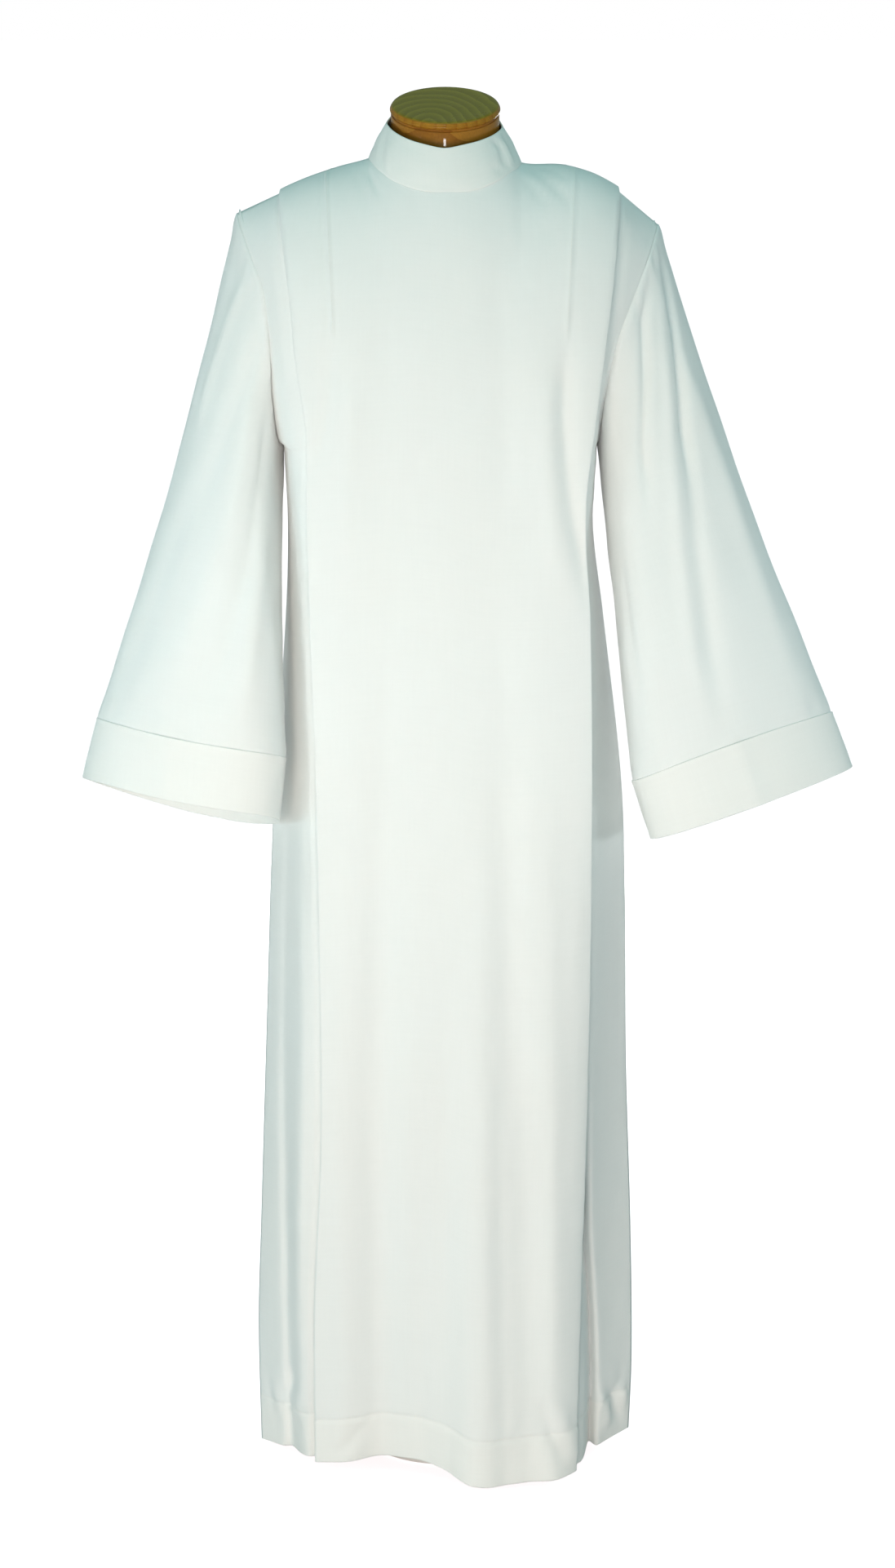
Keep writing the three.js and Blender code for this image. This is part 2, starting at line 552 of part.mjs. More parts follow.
function collarPiece(front, backLeft, backRight) {
  const seam = neckline(front, backLeft, backRight);
  const centreX = (COLLAR_TOP.left + COLLAR_TOP.right) / 2;
  const halfWidth = (COLLAR_TOP.right - COLLAR_TOP.left) / 2;
  const shares = [0, 0.25, 0.5, 0.75, 1];
  const columns = seam.map(({ point, normal, angle, side }, j) => {
    const turn = THREE.MathUtils.degToRad(angle);
    const ahead = Math.cos(turn);
    const sideZ = side === LEFT ? COLLAR_TOP_Z.left : COLLAR_TOP_Z.right;
    const endZ = ahead > 0 ? COLLAR_TOP_Z.front : COLLAR_TOP_Z.back;
    const top = new THREE.Vector3(
      centreX + side * halfWidth * Math.sin(turn),
      ahead > 0 ? mix(COLLAR_TOP.y, COLLAR_TOP.front, ahead) : mix(COLLAR_TOP.y, COLLAR_TOP.back, -ahead),
      mix(sideZ, endZ, Math.abs(ahead) ** 1.4) - COLLAR_DIP * bump(angle, 14),
    );
    if (angle === 180) top.x = side * SEAM_GAP / 2;
    const before = seam[Math.max(0, j - 1)].point;
    const after = seam[Math.min(seam.length - 1, j + 1)].point;
    const inward = normal.clone().cross(new THREE.Vector3().subVectors(after, before)).normalize();
    const base = point.clone().addScaledVector(inward, SEAM_GAP + 0.15);
    base.z += 0.4;
    if (angle === 180) base.x = side * SEAM_GAP / 2;
    return shares.map((share) => {
      const at = base.clone().lerp(top, share);
      const belly = COLLAR_BELLY * Math.sin(Math.PI * share);
      if (angle !== 180) at.x += side * Math.sin(turn) * belly;
      at.y -= ahead * belly;
      return at;
    });
  });
  const grid = shares.map((_, i) => columns.map((column) => column[i]));
  const end = seam.length - 1;
  const adjust = (normal, i, j) => {
    if (j === 0 || j === end) normal.x = 0;
  };
  return clothWall(grid, COLLAR_CLOTH / 2, () => COLLAR_CLOTH / 2, { adjust });
}

// ---- tailor's form ------------------------------------------------------------------------------

const RING_POINTS = 32;
const NECK_SLOPE = Math.tan(NECK.tilt);

/** A level ring, or a leaning one, whose plan is a rounded rectangle with its own front and back depth. */
function formRing({ z, x, front, back, square = 2, lean = 0 }, centreX, centreY) {
  return Array.from({ length: RING_POINTS }, (_, k) => {
    const angle = k * 2 * Math.PI / RING_POINTS;
    const c = Math.cos(angle);
    const s = Math.sin(angle);
    const across = Math.sign(c) * Math.abs(c) ** (2 / square) * x;
    const along = Math.sign(s) * Math.abs(s) ** (2 / square) * (s < 0 ? front : back);
    return new THREE.Vector3(centreX + across, centreY + along, z + along * lean * NECK_SLOPE);
  });
}

function torsoGeometry() {
  const body = TORSO.map((row) => formRing(row, 0, SEAM_Y));
  const neck = TORSO_NECK.map((row) => formRing(row, NECK.x, BLOCK.y));
  return loft([...body, ...neck]);
}

function neckBlockGeometry() {
  const ring = (inset, z) => {
    const radius = BLOCK.radius - inset;
    const depth = radius * Math.cos(NECK.tilt);
    return formRing({ z, x: radius, front: depth, back: depth, lean: 1 }, NECK.x, BLOCK.y);
  };
  const { foot, shoulder, grooveDepth } = BLOCK;
  return loft([
    ring(3, foot), ring(1, foot + 5), ring(0, foot + 14), ring(0, shoulder - 1.2), ring(0.8, shoulder),
    ring(grooveDepth, shoulder), ring(grooveDepth, shoulder + 2),
  ]);
}

/** The cap is a turned disc, tilted forward about the middle of its top face. */
function neckCapGeometry() {
  const r = NECK_RADIUS;
  const h = CAP_HEIGHT;
  const profile = [[0, 0], [r - 0.8, 0], [r, 1], [r, h - 4], [r - 1.5, h - 1.3], [r - 5, h], [0, h]];
  const geometry = new THREE.LatheGeometry(profile.map(([x, y]) => new THREE.Vector2(x, y)), 36);
  geometry.rotateX(Math.PI / 2);
  geometry.translate(0, 0, -h);
  geometry.rotateX(NECK.tilt);
  geometry.translate(NECK.x, NECK.y, NECK.top);
  return geometry;
}

function baseGeometry() {
  const { radius: r, height: h, bevel: b } = BASE;
  const profile = [[0, 0], [r - b, 0], [r, b], [r, h - b], [r - b, h], [SOCKET.radius, h]];
  const top = h + SOCKET.height;
  profile.push([SOCKET.radius, top - 3], [SOCKET.radius - 3, top], [0, top]);
  const geometry = new THREE.LatheGeometry(profile.map(([x, y]) => new THREE.Vector2(x, y)), 48);
  geometry.rotateX(Math.PI / 2);
  geometry.translate(0, BASE.y, 0);
  return geometry;
}

function poleGeometry() {
  const foot = BASE.height + SOCKET.height + 0.3;
  const height = TORSO[0].z + POLE_SET - 0.3 - foot;
  const geometry = new THREE.CylinderGeometry(POLE_RADIUS, POLE_RADIUS, height, 24);
  geometry.rotateX(Math.PI / 2);
  geometry.translate(0, BASE.y, foot + height / 2);
  return geometry;
}

// ---- assembly -----------------------------------------------------------------------------------

const group = new THREE.Group();
const carried = new THREE.Group();
carried.position.z = POLE_SET;
group.add(carried);

function add(parent, name, geometry, material) {
  const mesh = new THREE.Mesh(geometry, material);
  mesh.name = name;
  parent.add(mesh);
}

const front = frontPiece();
const backLeft = backPiece(LEFT);
const backRight = backPiece(RIGHT);
add(carried, 'front', front.geometry, cloth);
add(carried, 'back_left', backLeft.geometry, cloth);
add(carried, 'back_right', backRight.geometry, cloth);
add(carried, 'sleeve_left', sleevePiece(LEFT, front, backLeft).geometry, cloth);
add(carried, 'sleeve_right', sleevePiece(RIGHT, front, backRight).geometry, cloth);
add(carried, 'cuff_left', cuffPiece(LEFT).geometry, cloth);
add(carried, 'cuff_right', cuffPiece(RIGHT).geometry, cloth);
add(carried, 'collar', collarPiece(front, backLeft, backRight).geometry, cloth);
add(carried, 'form_torso', torsoGeometry(), formCover);
add(carried, 'neck_block', neckBlockGeometry(), wood);
add(carried, 'neck_cap', neckCapGeometry(), wood);
add(group, 'form_pole', poleGeometry(), whiteSteel);
add(group, 'form_base', baseGeometry(), whiteSteel);

export default group;
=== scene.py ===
"""An off-white clergy alb on a limbless tailor's form: its cloth, seams, stitching, the form, and the studio.

Tables are in millimetres, in the alb's own heights, and become metres when a mesh is made.
The front faces -Y. Left and right are as seen from the front.
"""

import math

import bpy
import numpy as np
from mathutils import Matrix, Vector


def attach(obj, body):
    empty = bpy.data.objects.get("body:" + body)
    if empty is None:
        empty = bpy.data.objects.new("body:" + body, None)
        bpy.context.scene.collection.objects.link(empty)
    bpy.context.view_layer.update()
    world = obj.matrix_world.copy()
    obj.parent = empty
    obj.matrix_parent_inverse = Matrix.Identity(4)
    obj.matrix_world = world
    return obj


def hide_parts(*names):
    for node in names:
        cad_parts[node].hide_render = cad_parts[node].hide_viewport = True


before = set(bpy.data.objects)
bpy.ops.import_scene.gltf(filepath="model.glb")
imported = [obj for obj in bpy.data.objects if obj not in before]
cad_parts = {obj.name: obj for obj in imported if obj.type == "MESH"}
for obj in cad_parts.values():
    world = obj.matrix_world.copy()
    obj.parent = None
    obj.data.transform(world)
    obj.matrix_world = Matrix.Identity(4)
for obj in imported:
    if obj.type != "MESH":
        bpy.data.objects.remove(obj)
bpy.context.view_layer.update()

# ---- sizes of the alb -------------------------------------------------------------------------------

MM = 0.001
LEFT, RIGHT = -1, 1
SIDE_NAME = {LEFT: "left", RIGHT: "right"}
POLE_SET = -6.0          # height setting of the form's pole, which carries form and alb together

# Thicknesses: one layer of suiting, the turned-up layer inside the hem, and the doubled bands.
CLOTH = 1.0
HEM_EXTRA = 1.0
CUFF_CLOTH = 2.2
COLLAR_CLOTH = 1.8

# Making up.
HEM_DEPTH = 54.0
ALLOWANCE = 7.0          # seam allowance, turned inwards
SEAM_GAP = 0.05          # sewn edges all but touch
CUFF_PROUD = 0.5         # how far the cuff's outer face stands out beyond the sleeve's
FOLD_ROUNDING = 0.35     # how far a folded edge is rounded over, as a share of the wall's thickness
SEWN_ROUNDING = 0.08     # how far a sewn edge is, in millimetres
STITCH_LENGTH, STITCH_GAP, THREAD_WIDTH = 2.6, 0.9, 0.45
THREAD_LIFT = 0.05       # how high a stitch's middle lies above the cloth

# The body and its pleats.
SEAM_Y = 5.0             # front and back meet in this plane
UNDERARM_Z = 1192.0
SHOULDER_Z = 1484.0      # the height at which the pleats' tables are read along the shoulder
# The plan of front and back is rounded off: how squarely, and the half width at which it would close.
ROUNDNESS = 3.0
ROUND_WIDTH = 240.0
PLEAT_STEP = [(0, 6.0), (600, 4.2), (1200, 3.0), (1400, 2.7), (1490, 2.0)]   # height, depth of each layer
PLEAT_TOP = 1487.0       # where the pleats end, in the shoulder seam
PLEAT_STITCH_END = 1319.0
TUCK_DEPTH = {LEFT: 1.8, RIGHT: 1.1}    # how far a pleat's stitch line is pulled in
FOLD_HOLLOW = 2.6        # how deep the cloth lies just beside a pleat's fold
CLOSURE_END = 960.0      # how far down the back the concealed closure opens
BACK_ARMHOLE_DEPTH = 0.92   # the armhole's depth behind the seam plane, as a share of that in front

# Half width of the skirt at the side seams: height, half width.
SIDE_SEAM = {
    LEFT: [(14, 218), (161, 220), (280, 216), (525, 207), (755, 198), (1000, 181), (1100, 178), (1192, 182)],
    RIGHT: [(20, 212), (121, 215), (280, 212), (477, 205), (670, 202), (812, 196), (1000, 174), (1100, 162),
            (1192, 166)],
}
# Front half of each armhole: share of the way from the underarm to the shoulder tip, x, y, z.
ARMHOLE = {
    LEFT: [(0, 182, 5, 1192), (0.15, 187, -36, 1200), (0.3, 191, -60, 1247), (0.5, 194, -68, 1312),
           (0.65, 200, -60, 1362), (0.8, 214, -41, 1398), (0.92, 226, -15, 1427), (1, 231, 5, 1442)],
    RIGHT: [(0, 166, 5, 1192), (0.15, 167, -38, 1200), (0.3, 172, -64, 1247), (0.5, 186, -70, 1312),
            (0.65, 203, -58, 1356), (0.8, 218, -40, 1394), (0.92, 227, -15, 1418), (1, 231, 5, 1430)],
}
# The shoulder line, and inside the neck the dome that the neckline is cut from: distance from centre, height.
SHOULDER = {
    LEFT: [(-40, 1527), (0, 1537), (40, 1527), (65, 1513), (86, 1502), (119, 1493), (152, 1482), (178, 1471),
           (193, 1463)],
    RIGHT: [(-40, 1527), (0, 1537), (40, 1526), (65, 1510), (81, 1497), (126, 1495), (157, 1487), (176, 1478),
            (193, 1468)],
}
CHEST_CROWN = [(-60, 1518), (0, 1522), (60, 1517), (120, 1500), (160, 1485), (193, 1469)]    # below that line
NECK_ROUNDNESS = 2.4
NECK_HALF_WIDTH = {LEFT: 86.0, RIGHT: 80.5}

FOLD_HEIGHTS = (0, 413, 900)     # where the soft folds' places are given, below
FOLD_FULL = 250.0                # below this height a fold has its full depth

# Each face of the body.
#   fold, stitch: height, distance from the centre, for the pleat's outer fold and its stitched inner line
#   depth: height, depth to the left half of the panel, depth to the right half
#   step: where the depth goes over from the left half's to the right half's
#   folds: the long soft folds, each with its place at FOLD_HEIGHTS, its depth (a ridge where it is below 0),
#          the height where it has died away, and its width
#   hem: place, height of the hem's edge
#   neck_depth, bend: how far the neckline lies from the seam plane, and how squarely the chest bends over
FRONT = {
    "facing": -1, "neck_depth": 93.0, "bend": 2.5,
    "fold": {
        LEFT: [(22, 153), (214, 152), (413, 143), (604, 143), (837, 146), (973, 150), (1134, 154),
               (1215, 154), (1291, 165), (1348, 170), (1462, 184)],
        RIGHT: [(19, 149), (223, 153), (416, 158), (698, 161), (1009, 157), (1135, 151), (1215, 160),
                (1291, 170), (1365, 179), (1464, 188)],
    },
    "stitch": {
        LEFT: [(20, 108), (600, 112), (1100, 118), (1318, 123), (1487, 132)],
        RIGHT: [(20, 115), (600, 122), (1100, 124), (1320, 129), (1484, 138)],
    },
    "depth": [(20, 100, 148), (140, 112, 144), (300, 122, 139), (500, 130, 136), (800, 133, 133),
              (1192, 133, 133)],
    "step": (-48, 30),
    "folds": [(-80, -83, -73, 8, 1060, 20), (2, -3, 6, 6, 780, 17), (94, 87, 58, 8, 1080, 20),
              (-118, -124, -118, -2.2, 980, 13), (-42, -45, -34, -1.8, 900, 12), (44, 40, 28, -2.4, 860, 13),
              (124, 120, 112, -2.6, 1120, 12), (66, 58, 84, 1.4, 700, 9), (-22, -30, -14, 1.2, 620, 9),
              (170, 170, 166, 22, 1150, 56), (157, 166, 166, 9, 1190, 14),
              (-72, -70, -66, 5, 1900, 24), (68, 66, 64, 5, 1900, 22)],
    "hem": [(-218, 14), (-173, 20), (-150, 21), (-45, 30), (-8, 26), (30, 14), (100, 14), (150, 19),
            (168, 24), (184, 34), (212, 28)],
}
BACK = {
    "facing": 1, "neck_depth": 65.0, "bend": 2.8,
    "fold": {
        LEFT: [(20, 166), (600, 152), (1200, 144), (1340, 158), (1470, 176)],
        RIGHT: [(20, 160), (600, 154), (1200, 142), (1340, 158), (1470, 178)],
    },
    "stitch": {
        LEFT: [(20, 112), (1200, 108), (1470, 128)],
        RIGHT: [(20, 110), (1200, 110), (1470, 130)],
    },
    "depth": [(20, 146, 140), (300, 134, 131), (600, 123, 122), (1000, 114, 114), (1192, 113, 113)],
    "step": (-40, 40),
    "folds": [(-72, -66, -58, 9, 1000, 20), (84, 70, 50, 8, 1120, 19), (-112, -104, -98, -2.4, 960, 13),
              (-34, -30, -26, -2.0, 880, 12), (36, 30, 18, -2.2, 900, 12), (120, 112, 96, -2.6, 1060, 13),
              (-4, -2, 0, 1.6, 640, 10)],
    "hem": [(-218, 14), (-120, 22), (40, 18), (140, 23), (212, 28)],
}

# Folds of the narrow side strips.
#   place: height, share of the way from the pleat to the side seam
#   rise: height, how far the cloth stands towards the front or the back of the alb, a trough below 0
#   width: as a share of the strip
SIDE_FOLDS = {
    LEFT: [
        {"place": [(0, 0.44), (167, 0.41), (313, 0.50), (505, 0.60)],
         "rise": [(0, -10), (505, -7)], "width": 0.10},
        {"place": [(0, 0.20), (313, 0.30)], "rise": [(0, 6), (313, 11)], "width": 0.14},
        {"place": [(0, 0.03), (505, 0.03)], "rise": [(0, -4), (505, -4)], "width": 0.05},
    ],
    RIGHT: [
        {"place": [(20, 0.37), (167, 0.305), (313, 0.15), (505, 0.05)],
         "rise": [(20, -27), (313, -22), (505, -15)], "width": 0.075},
        {"place": [(20, 0.18), (167, 0.15), (313, 0.07)],
         "rise": [(20, 14), (167, 12), (313, 4), (420, 0)], "width": 0.075},
        {"place": [(20, 0.33), (167, 0.265), (313, 0.12), (505, 0.04)],
         "rise": [(20, -9), (313, -9), (505, -5)], "width": 0.045},
    ],
}
SIDE_FOLD_TOP, SIDE_FOLD_FULL = 1080.0, 300.0    # they die away between these heights
STRIP_FROM = 150.0       # how far from the middle the strips lie, near the hem

# How full a strip is: height, how far its corner lies outwards, how far it lies away from the side seam.
STRIP_BELLY = {
    LEFT: [(0, 0.52, 0.46), (420, 0.64, 0.56), (960, 0.66, 0.58), (1192, 0.96, 0.86)],
    RIGHT: [(0, 0.46, 0.38), (420, 0.48, 0.42), (960, 0.54, 0.48), (1192, 0.92, 0.84)],
}

# The closed loops at the sleeve's end and the cuff's lower edge: outer, front, inner and back key points.
SLEEVE_END = {
    LEFT: [(391, -8, 880), (302, -119, 879), (182, -104, 855), (259, 2, 842)],
    RIGHT: [(430, -5, 886), (324, -105, 873), (208, -88, 825), (285, 15, 836)],
}
CUFF_END = {
    LEFT: [(409, -8, 809), (308, -122, 809), (189, -106, 784), (266, 5, 762)],
    RIGHT: [(455, -5, 823), (348, -108, 801), (230, -90, 758), (306, 15, 769)],
}
# How far a sleeve's middle bows: sideways and backwards under the arm, inwards along its outer edge, and
# forwards and backwards elsewhere.
UNDERARM_SWING = {LEFT: (2, -18), RIGHT: (0, -22)}
OUTER_SAG = 7.0
SLEEVE_FULLNESS = 7.0

# The rough length of a sleeve, depth of its cuff and height of the collar, and the millimetres in one degree
# round each of them.
SLEEVE_LENGTH, SLEEVE_DEGREE = 560.0, 1.6
CUFF_DEPTH, CUFF_DEGREE = 72.0, 1.9
COLLAR_HEIGHT, COLLAR_DEGREE = 48.0, 1.25

COLLAR_TOP = {"left": -66.0, "right": 59.5, "front": -72.0, "back": 66.0, "y": -5.0}
COLLAR_TOP_Z = {"front": 1519.0, "back": 1564.0, LEFT: 1541.0, RIGHT: 1537.0}
COLLAR_DIP = 2.5         # how much lower the top edge lies in the middle of the front
COLLAR_BELLY = 1.5       # how far the band stands out halfway up

# Creases that the hanging cloth takes: height (a trough below 0), width, and the path across the cloth. On
# the body a path runs through (x, z) as seen from the front or the back, on a sleeve through (turn, share):
# degrees round from the outer edge by the front, share from armhole to cuff.
FRONT_CREASES = [
    (-3.0, 8, [(-127, 1322), (-128, 1260), (-137, 1205), (-147, 1165)]),
    (-7.0, 10, [(130, 1322), (126, 1240), (133, 1150), (147, 1075), (160, 1000)]),
    (3.0, 13, [(112, 1290), (106, 1210), (114, 1110), (128, 1020)]),
    (2.0, 13, [(-104, 1280), (-106, 1190), (-116, 1090)]),
    (-1.4, 17, [(-60, 1390), (-66, 1290), (-74, 1180), (-76, 1080)]),
    (-1.4, 17, [(52, 1400), (60, 1290), (64, 1180), (60, 1090)]),
    (-3.0, 5.5, [(-190, 1440), (-176, 1348), (-171, 1291), (-161, 1215), (-160, 1140)]),
    (-3.0, 5.5, [(194, 1450), (185, 1365), (176, 1291), (166, 1215), (158, 1150)]),
    (-2.6, 4.5, [(84, 1496), (104, 1485), (122, 1470), (134, 1452)]),
    (-2.2, 3.6, [(90, 1502), (112, 1492), (132, 1480)]),
    (-2.0, 4.5, [(82, 1484), (96, 1470), (106, 1452)]),
    (-2.0, 4.5, [(-92, 1496), (-80, 1480), (-72, 1462)]),
    (-1.4, 5, [(-100, 1490), (-92, 1472), (-88, 1450)]),
    (-3.0, 6, [(-196, 78), (-184, 96), (-176, 124)]),
    (2.4, 6, [(-182, 60), (-172, 84), (-168, 108)]),
    (-4.5, 6, [(188, 96), (194, 66), (204, 40)]),
    (4.0, 6, [(176, 90), (184, 60), (186, 36)]),
    (3.0, 5, [(200, 92), (206, 72), (210, 52)]),
    (-4.0, 9, [(104, 112), (118, 74), (134, 30)]),
    (3.0, 8, [(128, 96), (140, 60), (148, 24)]),
    (-2.6, 7, [(-92, 74), (-110, 50), (-134, 30)]),
]
BACK_CREASES = [
    (-3.4, 9, [(-112, 1330), (-110, 1240), (-118, 1150), (-128, 1070)]),
    (-3.8, 9, [(114, 1310), (110, 1230), (120, 1130), (134, 1040)]),
    (-1.8, 16, [(-58, 1380), (-64, 1260), (-60, 1120)]),
    (-1.6, 16, [(50, 1400), (58, 1280), (54, 1140)]),
    (-1.2, 6, [(-30, 1476), (2, 1468), (34, 1474)]),
]
SLEEVE_CREASES = {
    LEFT: [
        (3.2, 9, [(40, 0.01), (32, 0.12), (28, 0.26), (30, 0.40)]),
        (-2.6, 15, [(78, 0.03), (72, 0.16), (66, 0.34), (62, 0.55)]),
        (-4.2, 16, [(118, 0.04), (124, 0.22), (122, 0.45), (112, 0.75), (108, 0.97)]),
        (3.0, 16, [(96, 0.20), (94, 0.45), (84, 0.72), (80, 0.98)]),
        (2.6, 13, [(142, 0.35), (138, 0.60), (134, 0.96)]),
        (-2.4, 17, [(50, 0.45), (46, 0.72), (44, 0.98)]),
        (-4.6, 16, [(236, 0.03), (240, 0.30), (250, 0.62), (254, 0.97)]),
        (-3.4, 17, [(284, 0.08), (290, 0.36), (296, 0.70), (294, 0.97)]),
        (2.8, 15, [(262, 0.30), (268, 0.60), (272, 0.97)]),
    ],
    RIGHT: [
        (-5.5, 8, [(14, 0.02), (30, 0.14), (58, 0.31), (70, 0.44)]),
        (-4.5, 10, [(30, 0.14), (58, 0.31), (79, 0.53), (92, 0.78), (97, 0.97)]),
        (-6.5, 9, [(38, 0.02), (62, 0.06), (78, 0.15), (98, 0.24), (108, 0.38)]),
        (3.0, 9, [(26, 0.03), (50, 0.14), (74, 0.30), (92, 0.50), (104, 0.75), (108, 0.97)]),
        (2.8, 15, [(38, 0.12), (34, 0.34), (42, 0.70), (46, 0.98)]),
        (-2.8, 12, [(150, 0.30), (154, 0.55), (156, 0.90)]),
        (-4.8, 15, [(238, 0.03), (244, 0.28), (248, 0.60), (256, 0.97)]),
        (-3.6, 17, [(280, 0.06), (292, 0.34), (298, 0.66), (300, 0.97)]),
        (3.0, 15, [(264, 0.26), (272, 0.60), (276, 0.97)]),
    ],
}
# The cuffs' pressed creases: height, width, degrees round.
CUFF_CREASES = {LEFT: [(2.6, 9, 88), (2.0, 10, 268)], RIGHT: [(2.6, 9, 92), (2.0, 10, 266)]}
# On the collar a path runs through (degrees from the centre front, below 0 to the left; share of the height).
COLLAR_CREASES = [
    (-2.6, 3.6, [(-74, 0.98), (-68, 0.66), (-62, 0.34), (-52, 0.02)]),
    (1.3, 4.4, [(-58, 0.80), (-52, 0.40), (-48, 0.08)]),
    (-2.8, 3.4, [(50, 0.98), (58, 0.66), (54, 0.34), (60, 0.03)]),
    (-2.4, 3.2, [(70, 0.95), (74, 0.55), (68, 0.10)]),
    (1.8, 3.4, [(62, 0.80), (66, 0.45), (62, 0.12)]),
    (-1.4, 3.0, [(40, 0.40), (46, 0.20), (52, 0.04)]),
    (-1.4, 4.0, [(-140, 0.90), (-134, 0.50), (-138, 0.10)]),
    (-1.5, 4.0, [(128, 0.92), (134, 0.55), (130, 0.12)]),
]

# ---- sizes of the form ------------------------------------------------------------------------------

# The torso's rings: height, half width, depth to the front, depth to the back, squareness.
TORSO = [
    (728, 146, 88, 100, 2.2), (736, 152, 94, 106, 2.2), (850, 157, 98, 108, 2.2), (950, 140, 90, 96, 2.2),
    (1050, 126, 86, 86, 2.2), (1150, 136, 96, 90, 2.2), (1240, 146, 103, 94, 2.2), (1320, 160, 98, 93, 2.1),
    (1380, 186, 86, 84, 1.9), (1420, 200, 78, 76, 1.8), (1440, 202, 72, 70, 1.8), (1451, 192, 68, 66, 1.8),
    (1468, 168, 62, 60, 1.8), (1481, 138, 57, 54, 1.8),
]
# The top rings, which lean forward by a share of the neck's tilt: height, half width, front, back, lean.
TORSO_NECK = [(1490, 100, 50, 45, 0.25), (1496, 74, 49, 50, 0.5), (1502, 60, 52, 55, 0.8),
              (1507, 57, 52, 52, 1)]
COVER_SEAM = 0.8         # how deep the cover's seams lie

NECK_X, NECK_Y, NECK_TOP = -2.6, 0.0, 1560.5     # the middle of the cap's top
NECK_TILT = math.radians(18.2)
NECK_RADIUS = 60.5
CAP_HEIGHT = 8.0
BLOCK_FOOT, BLOCK_SHOULDER, BLOCK_Y, BLOCK_RADIUS = 1507.4, 1550.5, 2.5, 59.5    # from its foot to its groove
GROOVE_DEPTH = 2.4       # the groove turned in the block, right below the cap

BASE_Y, BASE_RADIUS, BASE_HEIGHT, BASE_BEVEL = 40.0, 96.0, 6.0, 1.5
SOCKET_RADIUS, SOCKET_HEIGHT = 24.0, 26.0
POLE_RADIUS = 12.5
METAL_GAP = 0.3          # between the pole and what it stands in and carries

# ---- how finely the cloth is made -------------------------------------------------------------------

SKIRT_ROWS = 132
UPPER_ROWS = 60
NECK_COLUMNS = 24        # from the centre to the side of the neck
YOKE_COLUMNS = 9         # from there to the pleat's stitch line
STITCH_COLUMN = NECK_COLUMNS + YOKE_COLUMNS + 2     # that of the stitch line, counted from the centre
STRIP_COLUMNS = 34
SLEEVE_ROWS = 96
CUFF_ROWS = 18
COLLAR_ROWS = 18
RING_POINTS = 96         # round the torso
TURNED_POINTS = 128      # round the turned pieces

# The rise of each level above the underarm, which crowds the rows at both ends.
RISE = [0, 0.022, 0.065, 0.14, 0.25, 0.38, 0.52, 0.66, 0.78, 0.875, 0.945, 0.985, 1]
RISE_TABLE = [(1 + k / (len(RISE) - 1), share) for k, share in enumerate(RISE)]
HEM_LEVEL = HEM_DEPTH / (UNDERARM_Z - FRONT["hem"][0][1])


# ---- small helpers ----------------------------------------------------------------------------------

GOLDEN_ANGLE = 2.399     # in radians


def mix(a, b, t):
    return a + (b - a) * t


def ease(t):
    """A soft step from 0 to 1 while t goes from 0 to 1."""
    t = np.clip(t, 0, 1)
    return t * t * (3 - 2 * t)


def bump(distance, width):
    """A soft rise that is 1 at its place and all but gone two widths away."""
    return np.exp(-((distance / width) ** 2))


def read(table, at, column=1):
    """Reads a column of a table at one or many places of its first column, along a smooth curve."""
    keys = np.array([row[0] for row in table], float)
    values = np.array([row[column] for row in table], float)
    places = np.arange(len(keys))
    low, high = np.maximum(places - 1, 0), np.minimum(places + 1, len(keys) - 1)
    slopes = (values[high] - values[low]) / (keys[high] - keys[low])
    at = np.clip(at, keys[0], keys[-1])
    i = np.clip(np.searchsorted(keys, at) - 1, 0, len(keys) - 2)
    span = keys[i + 1] - keys[i]
    t = (at - keys[i]) / span
    blend = t * t * (3 - 2 * t)
    return (values[i] * (1 - blend) + values[i + 1] * blend
            + span * t * (1 - t) * (slopes[i] * (1 - t) - slopes[i + 1] * t))


def stack(x, y, z):
    """Points from their three coordinates, each of which may be one value for all."""
    return np.stack(np.broadcast_arrays(x, y, z), axis=-1).astype(float)


def unit(vectors):
    length = np.linalg.norm(vectors, axis=-1, keepdims=True)
    return vectors / np.maximum(length, 1e-9)


def unevenness(a, b, wavelength, seed):
    """A smooth, even-handed waviness between -1 and 1 over two measures, with no repeat that shows.

    It adds six plain waves, each turned by the golden angle from the one before and a little longer.
    """
    total = np.zeros(np.broadcast(a, b).shape)
    turn = seed * 1.7
    for k in range(6):
        angle = turn + k * GOLDEN_ANGLE
        size = wavelength * (0.7 + 0.17 * k)
        way = a * math.cos(angle) + b * math.sin(angle)
        total = total + np.sin(way * 2 * math.pi / size + seed * 3.1 + k * 1.3)
    return total / 3.2


def crease_relief(creases, a, b, scale_a=1.0, scale_b=1.0):
    """How far a set of creases lifts each place of a surface whose two measures are a and b.

    The scales turn those measures into millimetres. A crease fades out towards both ends of its path.
    """
    relief = np.zeros(np.broadcast(a, b).shape)
    for height, width, points in creases:
        path = np.array(points, float) * (scale_a, scale_b)
        lengths = np.r_[0, np.cumsum(np.linalg.norm(np.diff(path, axis=0), axis=1))]
        nearest = np.full(relief.shape, 1e9)
        along = np.zeros(relief.shape)
        for k in range(len(path) - 1):
            step = path[k + 1] - path[k]
            t = np.clip(((a * scale_a - path[k][0]) * step[0] + (b * scale_b - path[k][1]) * step[1])
                        / (step @ step), 0, 1)
            gap = np.hypot(a * scale_a - path[k][0] - t * step[0], b * scale_b - path[k][1] - t * step[1])
            closer = gap < nearest
            nearest = np.where(closer, gap, nearest)
            along = np.where(closer, (lengths[k] + t * (lengths[k + 1] - lengths[k])) / lengths[-1], along)
        fade = ease(along / 0.22) * ease((1 - along) / 0.30) * 0.9 + 0.1
        relief = relief + height * fade * bump(nearest, width)
    return relief


# ---- meshes -----------------------------------------------------------------------------------------

def in_frame(points):
    """The alb's own millimetres to metres in the shared frame."""
    return (np.asarray(points, float) + (0, 0, POLE_SET)) * MM


